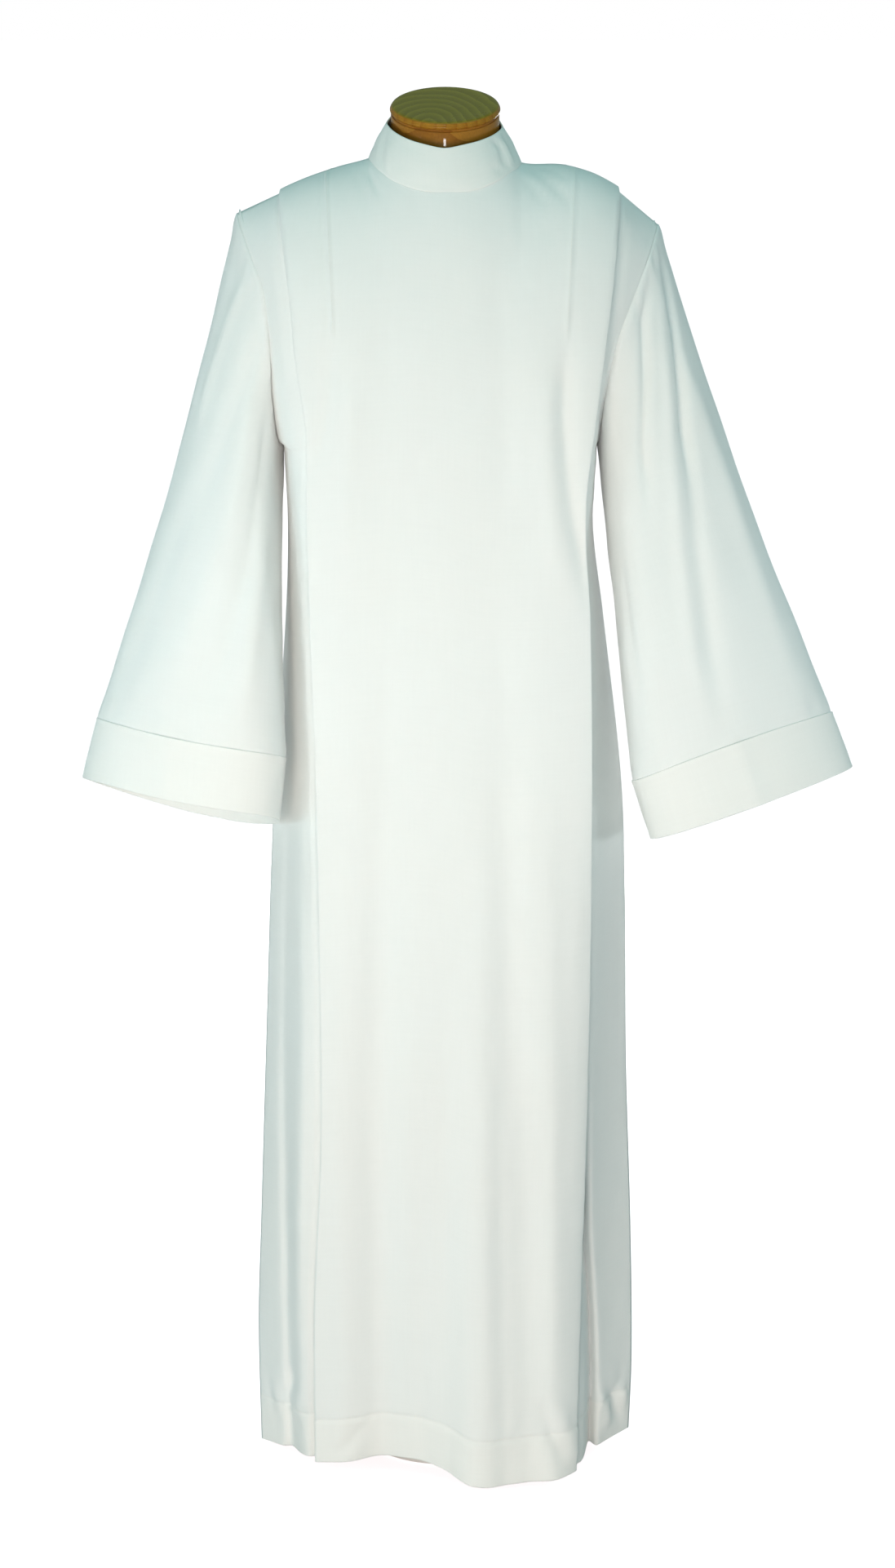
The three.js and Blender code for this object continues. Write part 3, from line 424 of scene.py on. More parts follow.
def new_object(name, points, faces, material, uv=None, doubled=None, sharp=None):
    """A finished piece: its object at the origin, its place in its mesh, and smooth faces."""
    mesh = bpy.data.meshes.new(name)
    mesh.from_pydata(points.tolist(), [], faces)
    mesh.polygons.foreach_set("use_smooth", [True] * len(mesh.polygons))
    if sharp is not None:
        mesh.set_sharp_from_angle(angle=math.radians(sharp))
    if uv is not None:
        layer = mesh.uv_layers.new(name="cloth_metres")
        layer.data.foreach_set("uv", uv.astype(np.float32).ravel())
    if doubled is not None:
        attribute = mesh.attributes.new("doubled", "FLOAT", "POINT")
        attribute.data.foreach_set("value", doubled.astype(np.float32))
    mesh.materials.append(material)
    piece = bpy.data.objects.new(name, mesh)
    bpy.context.scene.collection.objects.link(piece)
    return piece


def grid_normals(grid, closed, square=None):
    """The outward normal at each point of a grid whose rows run up the cloth and columns across it."""
    if closed:
        across = unit(grid - np.roll(grid, 1, axis=1)) + unit(np.roll(grid, -1, axis=1) - grid)
    else:
        step = unit(np.diff(grid, axis=1))
        across = np.concatenate([step[:, :1], step], axis=1) + np.concatenate([step, step[:, -1:]], axis=1)
    step = unit(np.diff(grid, axis=0))
    up = np.concatenate([step[:1], step]) + np.concatenate([step, step[-1:]])
    normals = unit(np.cross(across, up))
    if square is not None:
        normals[..., 1] = np.where(square, 0, normals[..., 1])
    return unit(normals)


def cloth_measures(grid, closed):
    """Metres along the cloth at each point: across its rows and up its columns."""
    around = np.concatenate([grid, grid[:, :1]], axis=1) if closed else grid
    across = np.linalg.norm(np.diff(around, axis=1), axis=2).cumsum(axis=1)
    across = np.concatenate([np.zeros((len(grid), 1)), across], axis=1)
    across -= across[:, across.shape[1] // 2][:, None]
    up = np.linalg.norm(np.diff(around, axis=0), axis=2).cumsum(axis=0)
    up = np.concatenate([np.zeros((1, around.shape[1])), up], axis=0)
    return across * MM, up * MM


def wall_faces(rows, columns, closed):
    """The faces of a cloth wall, as point numbers, and the place in the grid of each of their corners.

    The points are numbered through the outer side, the inner side, then the rims between them: bottom and
    top, and on an open wall start and end.
    """
    size = rows * columns
    starts = {"outer": 0, "inner": size, "bottom": 2 * size, "top": 2 * size + columns,
              "start": 2 * size + 2 * columns, "end": 2 * size + 2 * columns + rows}
    faces, corners = [], []

    def number(part, i, j):
        j = j % columns
        return starts[part] + {"bottom": j, "top": j, "start": i, "end": i}.get(part, i * columns + j)

    def face(*places):
        faces.append([number(*place) for place in places])
        corners.extend((i, j) for _, i, j in places)

    top, last = rows - 1, columns - 1
    steps = columns if closed else last
    for i in range(top):
        for j in range(steps):
            face(("outer", i, j), ("outer", i, j + 1), ("outer", i + 1, j + 1), ("outer", i + 1, j))
            face(("inner", i, j), ("inner", i + 1, j), ("inner", i + 1, j + 1), ("inner", i, j + 1))
    for j in range(steps):
        for row, from_part, to_part in ((0, "inner", "bottom"), (0, "bottom", "outer"),
                                        (top, "outer", "top"), (top, "top", "inner")):
            face((from_part, row, j), (from_part, row, j + 1), (to_part, row, j + 1), (to_part, row, j))
    if not closed:
        for i in range(top):
            for j, from_part, to_part in ((0, "outer", "start"), (0, "start", "inner"),
                                          (last, "inner", "end"), (last, "end", "outer")):
                face((from_part, i, j), (from_part, i + 1, j), (to_part, i + 1, j), (to_part, i, j))
        for i, j, parts in ((0, 0, ("bottom", "outer", "start", "inner")),
                            (0, last, ("end", "outer", "bottom", "inner")),
                            (top, 0, ("start", "outer", "top", "inner")),
                            (top, last, ("top", "outer", "end", "inner"))):
            face(*((part, i, j) for part in parts))
    return faces, np.array(corners)


def cloth_wall(name, grid, outside, inside, closed=False, square=None, doubled=0.0, sewn=()):
    """A cloth wall round a grid in the middle of the cloth. Folded edges are rounded over, sewn ones less.

    Gives the piece, its grid, the normals there, and what was cut for it: width, length and area in metres.
    """
    rows, columns = grid.shape[:2]
    normals = grid_normals(grid, closed, square)
    inside = np.broadcast_to(np.asarray(inside, float), (rows,))[:, None, None]
    outer = grid + normals * outside
    inner = grid - normals * inside
    rims = [(outer[0] + inner[0]) / 2, (outer[-1] + inner[-1]) / 2]
    if not closed:
        rims += [(outer[:, 0] + inner[:, 0]) / 2, (outer[:, -1] + inner[:, -1]) / 2]
    rounding = FOLD_ROUNDING * (outside + float(inside[0, 0, 0]))
    pull = {edge: SEWN_ROUNDING if edge in sewn else rounding for edge in ("bottom", "top", "start", "end")}
    for skin in (outer, inner):
        skin[0] += unit(grid[1] - grid[0]) * pull["bottom"]
        skin[-1] += unit(grid[-2] - grid[-1]) * pull["top"]
        if not closed:
            skin[:, 0] += unit(grid[:, 1] - grid[:, 0]) * pull["start"]
            skin[:, -1] += unit(grid[:, -2] - grid[:, -1]) * pull["end"]
    points = np.concatenate([outer.reshape(-1, 3), inner.reshape(-1, 3), *rims])
    faces, places = wall_faces(rows, columns, closed)
    across, up = cloth_measures(grid, closed)
    uv = np.stack([across[places[:, 0], places[:, 1]], up[places[:, 0], places[:, 1]]], axis=1)
    layers = np.broadcast_to(np.asarray(doubled, float).reshape(-1, 1), (rows, columns))
    shades = [layers.ravel(), layers.ravel(), layers[0], layers[-1]]
    if not closed:
        shades += [layers[:, 0], layers[:, -1]]
    piece = new_object(name, in_frame(points), faces, ALB_CLOTH, uv, np.concatenate(shades))
    return {"piece": piece, "grid": grid, "normals": normals, "cut": cut_size(grid, closed)}


def cut_size(grid, closed):
    """The flat width, length and area, in metres, of the cloth that a grid is laid on."""
    up, across = np.diff(grid, axis=0), np.diff(grid, axis=1)
    closing = np.linalg.norm(grid[0, 0] - grid[0, -1]) if closed else 0
    width = (np.linalg.norm(across, axis=2).sum(axis=1).max() + closing) * MM
    length = np.linalg.norm(up, axis=2).sum(axis=0).max() * MM
    area = np.linalg.norm(np.cross(up[:, :-1], across[:-1]), axis=2).sum() * MM * MM
    if closed:
        area = area * grid.shape[1] / (grid.shape[1] - 1)
    return {"width": width, "length": length, "area": min(area, width * length)}


# ---- finishes ---------------------------------------------------------------------------------------

def node(tree, kind, inputs=None, **settings):
    """A node with its settings, and with its inputs set to values or joined to other nodes' outputs."""
    made = tree.nodes.new(kind)
    for name, value in settings.items():
        setattr(made, name, value)
    for name, value in (inputs or {}).items():
        if isinstance(value, bpy.types.NodeSocket):
            tree.links.new(value, made.inputs[name])
        else:
            made.inputs[name].default_value = value
    return made


def calculate(tree, operation, *values):
    return node(tree, "ShaderNodeMath", dict(enumerate(values)), operation=operation).outputs[0]


def times_plus(tree, value, factor, extra):
    """A value times a factor, plus something."""
    return calculate(tree, "ADD", calculate(tree, "MULTIPLY", value, factor), extra)


def vector_step(tree, operation, first, second):
    """One operation on two vectors. What SCALE multiplies by is a plain number."""
    other = "Scale" if operation == "SCALE" else 1
    return node(tree, "ShaderNodeVectorMath", {0: first, other: second}, operation=operation).outputs[0]


def noise(tree, place, scale, detail, roughness=0.5):
    inputs = {"Vector": place, "Scale": scale, "Detail": detail, "Roughness": roughness}
    return node(tree, "ShaderNodeTexNoise", inputs).outputs


def spread_range(tree, value, low, high, to_low=0.0, to_high=1.0):
    """A value stretched so that low and high land on to_low and to_high, and kept between them."""
    inputs = {"Value": value, "From Min": low, "From Max": high, "To Min": to_low, "To Max": to_high}
    return node(tree, "ShaderNodeMapRange", inputs).outputs[0]


def shader_group(name, inputs, outputs):
    """An empty shader node group, what it is given and what it has to put out."""
    tree = bpy.data.node_groups.new(name, "ShaderNodeTree")
    for label, kind, value in inputs:
        socket = tree.interface.new_socket(name=label, in_out="INPUT", socket_type=kind)
        if value is not None:
            socket.default_value = value
    for label, kind in outputs:
        tree.interface.new_socket(name=label, in_out="OUTPUT", socket_type=kind)
    return tree, tree.nodes.new("NodeGroupInput").outputs, tree.nodes.new("NodeGroupOutput").inputs


def make_fine_weave():
    """Plain-woven suiting: thread crossings as a height, and uneven threads both ways as a tone."""
    tree, given, result = shader_group(
        "fine_weave",
        [("Cloth Metres", "NodeSocketVector", None), ("Threads per Metre", "NodeSocketFloat", 1500.0),
         ("Slub", "NodeSocketFloat", 0.5)],
        [("Height", "NodeSocketFloat"), ("Tone", "NodeSocketFloat")],
    )
    threads = vector_step(tree, "SCALE", given["Cloth Metres"], given["Threads per Metre"])
    apart = node(tree, "ShaderNodeSeparateXYZ", {0: threads}).outputs
    warp, weft = (
        calculate(tree, "ABSOLUTE", calculate(tree, "SINE", calculate(tree, "MULTIPLY", apart[way], math.pi)))
        for way in ("X", "Y")
    )
    both = calculate(tree, "ADD", calculate(tree, "FLOOR", apart["X"]), calculate(tree, "FLOOR", apart["Y"]))
    over = calculate(tree, "PINGPONG", both, 1.0)
    crossing = node(tree, "ShaderNodeMix", {0: over, 2: warp, 3: weft}, data_type="FLOAT").outputs[0]
    streaks = []
    for stretch, seed in (((0.012, 0.30, 1.0), 3.0), ((0.30, 0.010, 1.0), 8.0)):
        moved = vector_step(tree, "ADD", vector_step(tree, "MULTIPLY", threads, stretch), (seed, seed, seed))
        streaks.append(noise(tree, moved, 1.0, 2.0)[0])
    uneven = calculate(tree, "SUBTRACT", calculate(tree, "ADD", streaks[0], streaks[1]), 1.0)
    tone = calculate(tree, "MULTIPLY", uneven, given["Slub"])
    tree.links.new(times_plus(tree, crossing, 0.6, tone), result["Height"])
    tree.links.new(tone, result["Tone"])
    return tree


def make_handling():
    """Faint unevenness that handling and storage leave on a surface, as a mask from 0 to 1."""
    tree, given, result = shader_group(
        "handling", [("Place", "NodeSocketVector", None), ("Size", "NodeSocketFloat", 0.05)],
        [("Mask", "NodeSocketFloat")],
    )
    scale = calculate(tree, "DIVIDE", 1.0, given["Size"])
    patches = noise(tree, given["Place"], scale, 4.0, 0.55)[0]
    tree.links.new(spread_range(tree, patches, 0.35, 0.68), result["Mask"])
    return tree


def make_wood_figure():
    """Growth rings round an axis beside the piece, with fibres along them."""
    tree, given, result = shader_group(
        "wood_figure",
        [("Place", "NodeSocketVector", None), ("Pith", "NodeSocketVector", None),
         ("Rings per Metre", "NodeSocketFloat", 150.0)],
        [("Ring", "NodeSocketFloat"), ("Fibre", "NodeSocketFloat")],
    )
    away = vector_step(tree, "SUBTRACT", given["Place"], given["Pith"])
    bends = noise(tree, given["Place"], 16.0, 3.0)["Color"]
    wavy = vector_step(tree, "ADD", away, vector_step(tree, "SCALE", bends, 0.016))
    level = vector_step(tree, "MULTIPLY", wavy, (1.0, 0.72, 0.35))
    radius = node(tree, "ShaderNodeVectorMath", {0: level}, operation="LENGTH").outputs["Value"]
    ring = calculate(tree, "FRACT", calculate(tree, "MULTIPLY", radius, given["Rings per Metre"]))
    tree.links.new(calculate(tree, "POWER", ring, 2.2), result["Ring"])
    along = vector_step(tree, "MULTIPLY", wavy, (1.0, 9.0, 1.0))
    tree.links.new(noise(tree, along, 260.0, 3.0)[0], result["Fibre"])
    return tree


FINE_WEAVE = make_fine_weave()
HANDLING = make_handling()
WOOD_FIGURE = make_wood_figure()


def placed_group(tree, group, inputs):
    return node(tree, "ShaderNodeGroup", inputs, node_tree=group).outputs


def new_finish(name, roughness, **surface):
    """A material with one Principled BSDF, and what its own nodes start from."""
    material = bpy.data.materials.new(name)
    material.use_nodes = True
    tree = material.node_tree
    shader = tree.nodes["Principled BSDF"]
    shader.inputs["Roughness"].default_value = roughness
    for label, value in surface.items():
        shader.inputs[label.replace("_", " ")].default_value = value
    place = tree.nodes.new("ShaderNodeTexCoord").outputs["Object"]
    return material, tree, shader, place


def colour_between(tree, mask, low, high):
    """The first colour where the mask is 0 and the second where it is 1. Each is a colour or an output."""
    first, second = (end if isinstance(end, bpy.types.NodeSocket) else (*end, 1) for end in (low, high))
    return node(tree, "ShaderNodeMix", {0: mask, 6: first, 7: second}, data_type="RGBA").outputs[2]


def relief_normal(tree, height, distance, strength, under=None):
    """The normal of a surface raised by a height, over another relief where one is given."""
    inputs = {"Height": height, "Distance": distance, "Strength": strength}
    if under is not None:
        inputs["Normal"] = under
    return node(tree, "ShaderNodeBump", inputs).outputs[0]


def woven_finish(name, single, double, yellowed, threads):
    """Off-white suiting. Where the cloth lies double, as in a hem, it is less sheer and so lighter."""
    material, tree, shader, place = new_finish(
        name, 0.82, Sheen_Weight=0.22, Sheen_Roughness=0.45, Specular_IOR_Level=0.22)
    metres = node(tree, "ShaderNodeUVMap", uv_map="cloth_metres").outputs[0]
    weave = placed_group(tree, FINE_WEAVE,
                         {"Cloth Metres": metres, "Threads per Metre": threads, "Slub": 0.5})
    doubled = node(tree, "ShaderNodeAttribute", attribute_name="doubled").outputs["Fac"]
    cloth = colour_between(tree, doubled, single, double)
    age = placed_group(tree, HANDLING, {"Place": place, "Size": 0.22})["Mask"]
    aged = colour_between(tree, calculate(tree, "MULTIPLY", age, 0.35), cloth, yellowed)
    toned = vector_step(tree, "SCALE", aged, times_plus(tree, weave["Tone"], 0.05, 1.0))
    tree.links.new(toned, shader.inputs["Base Color"])
    tree.links.new(times_plus(tree, age, 0.08, 0.78), shader.inputs["Roughness"])
    crumpled = relief_normal(tree, noise(tree, place, 34.0, 4.0)[0], 0.0022, 0.22)
    woven = relief_normal(tree, weave["Height"], 0.00016, 0.5, under=crumpled)
    tree.links.new(woven, shader.inputs["Normal"])
    return material


def thread_finish():
    """Sewing thread, whose plies catch the light in turn: their relief shades them, and their colour is
    painted lighter and darker along the twist as painted sheen.
    """
    material, tree, shader, place = new_finish("sewing_thread", 0.5, Sheen_Weight=0.3, Specular_IOR_Level=0.4)
    ply_relief_and_painted_sheen = node(tree, "ShaderNodeTexWave", {"Vector": place, "Scale": 900.0, "Distortion": 1.0}).outputs[1]
    # The ply bands also lighten and darken the thread's colour: painted sheen on each ply.
    colour = colour_between(tree, ply_relief_and_painted_sheen, (0.80, 0.80, 0.74), (0.90, 0.90, 0.85))
    tree.links.new(colour, shader.inputs["Base Color"])
    tree.links.new(relief_normal(tree, ply_relief_and_painted_sheen, 0.0001, 0.5), shader.inputs["Normal"])
    return material


def varnished_wood(name, light, dark, pith, rings, gloss, painted_cool_top_light=None, painted_cool_top_dark=None):
    """Turned hardwood under a clear varnish. A face that looks upwards may have its own, cooler tone, which
    is painted cool light from above.
    """
    material, tree, shader, place = new_finish(
        name, 0.30, Coat_Weight=gloss, Coat_Roughness=0.06, Coat_IOR=1.4, Specular_IOR_Level=0.04)
    figure = placed_group(tree, WOOD_FIGURE, {"Place": place, "Pith": pith, "Rings per Metre": rings})
    rings_colour = colour_between(tree, figure["Ring"], light, dark)
    if painted_cool_top_light:
        # Faces that look upwards blend over to a cooler ring colour: painted cool light from above.
        facing = tree.nodes.new("ShaderNodeNewGeometry").outputs["Normal"]
        upward = node(tree, "ShaderNodeSeparateXYZ", {0: facing}).outputs["Z"]
        painted_cool_top_colour = colour_between(tree, figure["Ring"], painted_cool_top_light, painted_cool_top_dark)
        rings_colour = colour_between(tree, spread_range(tree, upward, 0.55, 0.85), rings_colour, painted_cool_top_colour)
    fibre = spread_range(tree, figure["Fibre"], 0.3, 0.75, 0.86, 1.1)
    toned = vector_step(tree, "SCALE", rings_colour, fibre)
    tree.links.new(toned, shader.inputs["Base Color"])
    rubbed = placed_group(tree, HANDLING, {"Place": place, "Size": 0.02})["Mask"]
    tree.links.new(times_plus(tree, rubbed, 0.12, 0.24), shader.inputs["Roughness"])
    tree.links.new(relief_normal(tree, figure["Ring"], 0.0002, 0.12), shader.inputs["Normal"])
    return material


def form_cover_finish():
    """Natural linen drawn over the padded form."""
    material, tree, shader, place = new_finish("form_linen", 0.9, Sheen_Weight=0.15, Specular_IOR_Level=0.15)
    weave = placed_group(tree, FINE_WEAVE, {"Cloth Metres": place, "Threads per Metre": 900.0, "Slub": 1.0})
    worn = placed_group(tree, HANDLING, {"Place": place, "Size": 0.09})["Mask"]
    cloth = colour_between(tree, worn, (0.74, 0.67, 0.54), (0.68, 0.60, 0.46))
    toned = vector_step(tree, "SCALE", cloth, times_plus(tree, weave["Tone"], 0.35, 1.0))
    tree.links.new(toned, shader.inputs["Base Color"])
    tree.links.new(relief_normal(tree, weave["Height"], 0.0003, 0.6), shader.inputs["Normal"])
    return material


def painted_steel_finish():
    """White powder coat, with its fine orange peel and a little dulling where it is handled."""
    material, tree, shader, place = new_finish("powder_coated_steel", 0.42, Specular_IOR_Level=0.5)
    dulled = placed_group(tree, HANDLING, {"Place": place, "Size": 0.03})["Mask"]
    colour = colour_between(tree, dulled, (0.86, 0.86, 0.84), (0.80, 0.80, 0.77))
    tree.links.new(colour, shader.inputs["Base Color"])
    tree.links.new(times_plus(tree, dulled, 0.2, 0.36), shader.inputs["Roughness"])
    peel = noise(tree, place, 900.0, 2.0)[0]
    tree.links.new(relief_normal(tree, peel, 0.0002, 0.15), shader.inputs["Normal"])
    return material


ALB_CLOTH = woven_finish("alb_suiting", single=(0.872, 0.890, 0.884), double=(0.905, 0.910, 0.890),
                         yellowed=(0.886, 0.880, 0.856), threads=1500.0)
THREAD = thread_finish()
# The cap's top is painted a cooler, olive tone, as painted cool light from above.
CAP_WOOD = varnished_wood("neck_cap_varnish", light=(0.40, 0.185, 0.020), dark=(0.31, 0.125, 0.012),
                          pith=(-0.012, -0.048, 1.540), rings=95.0, gloss=0.32,
                          painted_cool_top_light=(0.225, 0.160, 0.008), painted_cool_top_dark=(0.34, 0.245, 0.020))
BLOCK_WOOD = varnished_wood("neck_block_varnish", light=(0.44, 0.19, 0.022), dark=(0.32, 0.12, 0.013),
                            pith=(0.0, 0.060, 1.30), rings=90.0, gloss=0.7)
FORM_LINEN = form_cover_finish()
STEEL = painted_steel_finish()


# ---- body of the alb --------------------------------------------------------------------------------
# A level runs from 0 at the hem to 1 at the underarm and 2 at the shoulder line or neckline.

SHOULDER_LEVEL = 1.995   # levels above this one lie in the shoulder seam
PLEAT_COLUMNS = np.r_[0.03, 0.075, np.linspace(0.16, 1, 9)]     # shares of a pleat's outer layer
HALF_TURN = np.radians([30, 60, 90, 120, 150])                  # the round of its two folds


def rise_at(level):
    """The share of the way from the underarm to the shoulder line at a level."""
    return read(RISE_TABLE, level)


def height_below(face, x, level):
    """The height of a level between the hem and the underarm."""
    return mix(read(face["hem"], x), UNDERARM_Z, np.minimum(level, 1))


def panel_depth(face, x, z):
    """How far the panel stands from the seam plane, with its rounded section and its long soft folds."""
    half = ease((x - face["step"][0]) / (face["step"][1] - face["step"][0]))
    flat = mix(read(face["depth"], z, 1), read(face["depth"], z, 2), half)
    rounded = (1 - (np.abs(x) / ROUND_WIDTH) ** ROUNDNESS) ** (1 / ROUNDNESS)
    sink = 0
    _, bend_z, straight_z = FOLD_HEIGHTS
    above_bend = np.minimum(1, (z - bend_z) / (straight_z - bend_z))
    for low, middle, high, depth, top, width in face["folds"]:
        place = np.where(z < bend_z, mix(low, middle, z / bend_z), mix(middle, high, above_bend))
        sink = sink + depth * bump(x - place, width) * ease((top - z) / (top - FOLD_FULL))
    return flat * rounded - sink


def top_share(face, side, top_x):
    """The share of the dome's rise at which a column ends, at the neckline or the shoulder."""
    share = np.minimum(1, np.abs(top_x) / NECK_HALF_WIDTH[side])
    neck = face["neck_depth"] * (1 - share ** NECK_ROUNDNESS) ** (1 / NECK_ROUNDNESS)
    return (1 - (neck / panel_depth(face, side * top_x, UNDERARM_Z)) ** face["bend"]) ** (1 / face["bend"])


def panel_point(face, side, x, level, top_x):
    """A point of the pleated panel, for a column that ends at top_x."""
    low_z = height_below(face, side * x, level)
    low = stack(side * x, SEAM_Y + face["facing"] * panel_depth(face, side * x, low_z), low_z)
    share = np.minimum(1, top_share(face, side, top_x) * rise_at(level))
    rise = mix(read(CHEST_CROWN, x), read(SHOULDER[side], x), ease(share)) - UNDERARM_Z
    depth = panel_depth(face, side * x, UNDERARM_Z) * (1 - share ** face["bend"]) ** (1 / face["bend"])
    high = stack(side * x, SEAM_Y + face["facing"] * depth, UNDERARM_Z + rise * share)
    return np.where(np.broadcast_to(level > 1, high.shape[:-1])[..., None], high, low)


def panel_normal(face, side, x, level, top_x):
    """The panel's outward normal, kept level in the shoulder seam, where front and back meet."""
    across = (panel_point(face, side, x + 1, level, top_x + 1)
              - panel_point(face, side, x - 1, level, top_x - 1))
    up = (panel_point(face, side, x, np.minimum(2, level + 0.01), top_x)
          - panel_point(face, side, x, np.maximum(0, level - 0.01), top_x))
    normal = unit(np.cross(across, up))
    normal = np.where(normal[..., 1:2] * face["facing"] < 0, -normal, normal)
    normal[..., 1] = np.where(level > SHOULDER_LEVEL, 0, normal[..., 1])
    return unit(normal)


def edge_point(face, side, level):
    """The body's outer edge: the side seam, then the armhole."""
    z = height_below(face, side * 215.0, level)
    seam = stack(side * read(SIDE_SEAM[side], z), SEAM_Y + face["facing"] * SEAM_GAP / 2, z)
    u = np.maximum(level - 1, 0)
    forward = SEAM_Y - read(ARMHOLE[side], u, 2)
    depth = forward if face is FRONT else forward * BACK_ARMHOLE_DEPTH
    hole = stack(side * read(ARMHOLE[side], u, 1), SEAM_Y + face["facing"] * (depth + SEAM_GAP / 2),
                 read(ARMHOLE[side], u, 3))
    return np.where((level > 1)[..., None], hole, seam)


def side_strip(side, face, levels, start):
    """The strip from under the pleat's fold to the side seam or armhole, and which way it lifts."""
    edge = edge_point(face, side, levels)
    across, deep = (read(STRIP_BELLY[side], start[:, 2], column) for column in (1, 2))
    low_corner = np.stack([mix(start[:, 0], edge[:, 0], across), mix(edge[:, 1], start[:, 1], deep),
                           mix(start[:, 2], edge[:, 2], 0.5)], axis=1)
    high_corner = (start + edge) / 2
    high_corner[:, 1] += face["facing"] * 5 * ease((2 - levels) / 0.2)       # a little full beside the sleeve
    corner = mix(low_corner, high_corner, ease((levels - 1) / 0.45)[:, None])
    share = (np.arange(1, STRIP_COLUMNS + 1) / STRIP_COLUMNS)[None, :, None]
    points = (start[:, None] * (1 - share) ** 2 + corner[:, None] * 2 * share * (1 - share)
              + edge[:, None] * share ** 2)
    z = points[..., 2]
    fade = face["facing"] * ease((SIDE_FOLD_TOP - z) / (SIDE_FOLD_TOP - SIDE_FOLD_FULL))
    for fold in SIDE_FOLDS[side]:
        away = share[..., 0] - read(fold["place"], z)
        points[..., 1] += read(fold["rise"], z) * fade * bump(away, fold["width"])
    run = np.abs(edge - start)
    out = unit(stack(side * run[:, 1], face["facing"] * run[:, 0], 0))
    return points, np.broadcast_to(out[:, None], points.shape)


def half_body(face, side, levels):
    """Half of a face from the centre to the side seam through the pleat's three layers, and how it lifts."""
    level = levels[:, None]
    near = read(face["fold"][side], 600.0)
    z = np.where(level <= 1, height_below(face, side * near, level),
                 mix(UNDERARM_Z, SHOULDER_Z, rise_at(level)))
    stitch, fold = read(face["stitch"][side], z), read(face["fold"][side], z)
    stitch_top, fold_top = read(face["stitch"][side], PLEAT_TOP), read(face["fold"][side], PLEAT_TOP)
    step = read(PLEAT_STEP, z)

    # The inner five sevenths of the panel's width end at the neckline, the rest at the shoulder.
    neck = NECK_HALF_WIDTH[side] / stitch_top
    place = np.r_[np.linspace(0, 5 / 7, NECK_COLUMNS + 1), np.linspace(5 / 7, 0.962, YOKE_COLUMNS)[1:],
                  0.975, 0.989, 1]
    top = np.where(place <= 5 / 7, neck * np.sin(np.minimum(place * 1.4, 1) * math.pi / 2),
                   mix(neck, 1, (place * 7 - 5) / 2))
    x = mix(place, top, ease(rise_at(level))) * stitch
    top_x = np.broadcast_to(top * stitch_top, x.shape)
    parts = [(panel_point(face, side, x, level, top_x), panel_normal(face, side, x, level, top_x))]

    # The pleat: outer layer, the round of its fold, the layer that runs back, another round, inner layer.
    outer, inner = fold - step / 2, stitch + step / 2
    rounding, deeper = step / 2 * np.sin(HALF_TURN), (1 - np.cos(HALF_TURN)) / 2
    layers = [
        (mix(stitch, outer, PLEAT_COLUMNS), np.zeros(len(PLEAT_COLUMNS))),
        (outer + rounding, deeper),
        (mix(outer, inner, np.linspace(0, 1, 7)), np.ones(7)),
        (inner - rounding, 1 + deeper),
        (mix(inner, fold, np.linspace(0, 1, 10)), np.full(10, 2.0)),
    ]
    for x, depth in layers:
        top_x = stitch_top + (fold_top - stitch_top) * (x - stitch) / (fold - stitch)
        normal = panel_normal(face, side, x, level, top_x)
        parts.append((panel_point(face, side, x, level, top_x) - normal * (depth * step)[..., None], normal))
    parts.append(side_strip(side, face, levels, parts[-1][0][:, -1]))
    points, lift = (np.concatenate(group, axis=1) for group in zip(*parts))
    return points, lift


def body_relief(face, creases, points, levels):
    """The small relief of the body: creases, the cloth's own unevenness, tuck lines and the stitched hem."""
    x, y, z = (points[..., axis] for axis in range(3))
    relief = crease_relief(creases, x, z)
    relief = relief + 0.55 * unevenness(x, z * 0.45, 74, face["facing"]) + 0.22 * unevenness(x, z, 31, 4)
    for side in (LEFT, RIGHT):
        beside = side * x - read(face["stitch"][side], z)
        sewn = ease((z - PLEAT_STITCH_END) / 6)
        pull = TUCK_DEPTH[side] * (1.0 + 0.4 * unevenness(z, z * 0, 17, side))
        relief = relief + sewn * pull * (1.0 * bump(beside - 0.2, 1.5) - 0.8 * bump(beside - 4.2, 3.0))
        beyond = side * x - read(face["fold"][side], z)
        relief = relief - FOLD_HOLLOW * bump(beyond - 2.5, 2.6) * (beyond > 0.01)
    # The hem's stitches pull a groove with small puckers, which are stronger on the side strips.
    above_line = (levels[:, None] - HEM_LEVEL) * (UNDERARM_Z - 20)
    on_strip = np.abs(x) > STRIP_FROM
    puckers = unevenness(np.where(on_strip, y, x), above_line * 0.3, 21, 7)
    relief = relief - 1.2 * bump(above_line, 2.0) + 0.5 * bump(above_line + 7, 5)
    relief = relief + np.where(on_strip, 1.9, 0.7) * bump(above_line, 22) * puckers
    # It all dies away towards the seams, where the next piece has to meet it.
    from_seam = np.minimum(np.arange(x.shape[1]), np.arange(x.shape[1])[::-1])
    return relief * ease((2 - levels[:, None]) / 0.06) * ease(from_seam / 4)


# The body's rows, close together at the hem's folded edge and at its stitches.
HEM_ROWS = np.r_[0, 0.0018, 0.0045, np.linspace(0.009, HEM_LEVEL - 0.0055, 7),
                 HEM_LEVEL + np.array([-0.0028, -0.0013, 0, 0.0013, 0.0028, 0.0055, 0.0095])]
HEM_STITCH_ROW = len(HEM_ROWS) - 4
LEVELS = np.r_[HEM_ROWS, np.linspace(HEM_LEVEL + 0.015, 1, SKIRT_ROWS),
               1 + np.arange(1, UPPER_ROWS + 1) / UPPER_ROWS]
INSIDE = CLOTH / 2 + np.where(LEVELS <= HEM_LEVEL + 1e-9, HEM_EXTRA, 0)
HEM_DOUBLED = ease((HEM_LEVEL + 0.001 - LEVELS) / 0.002)


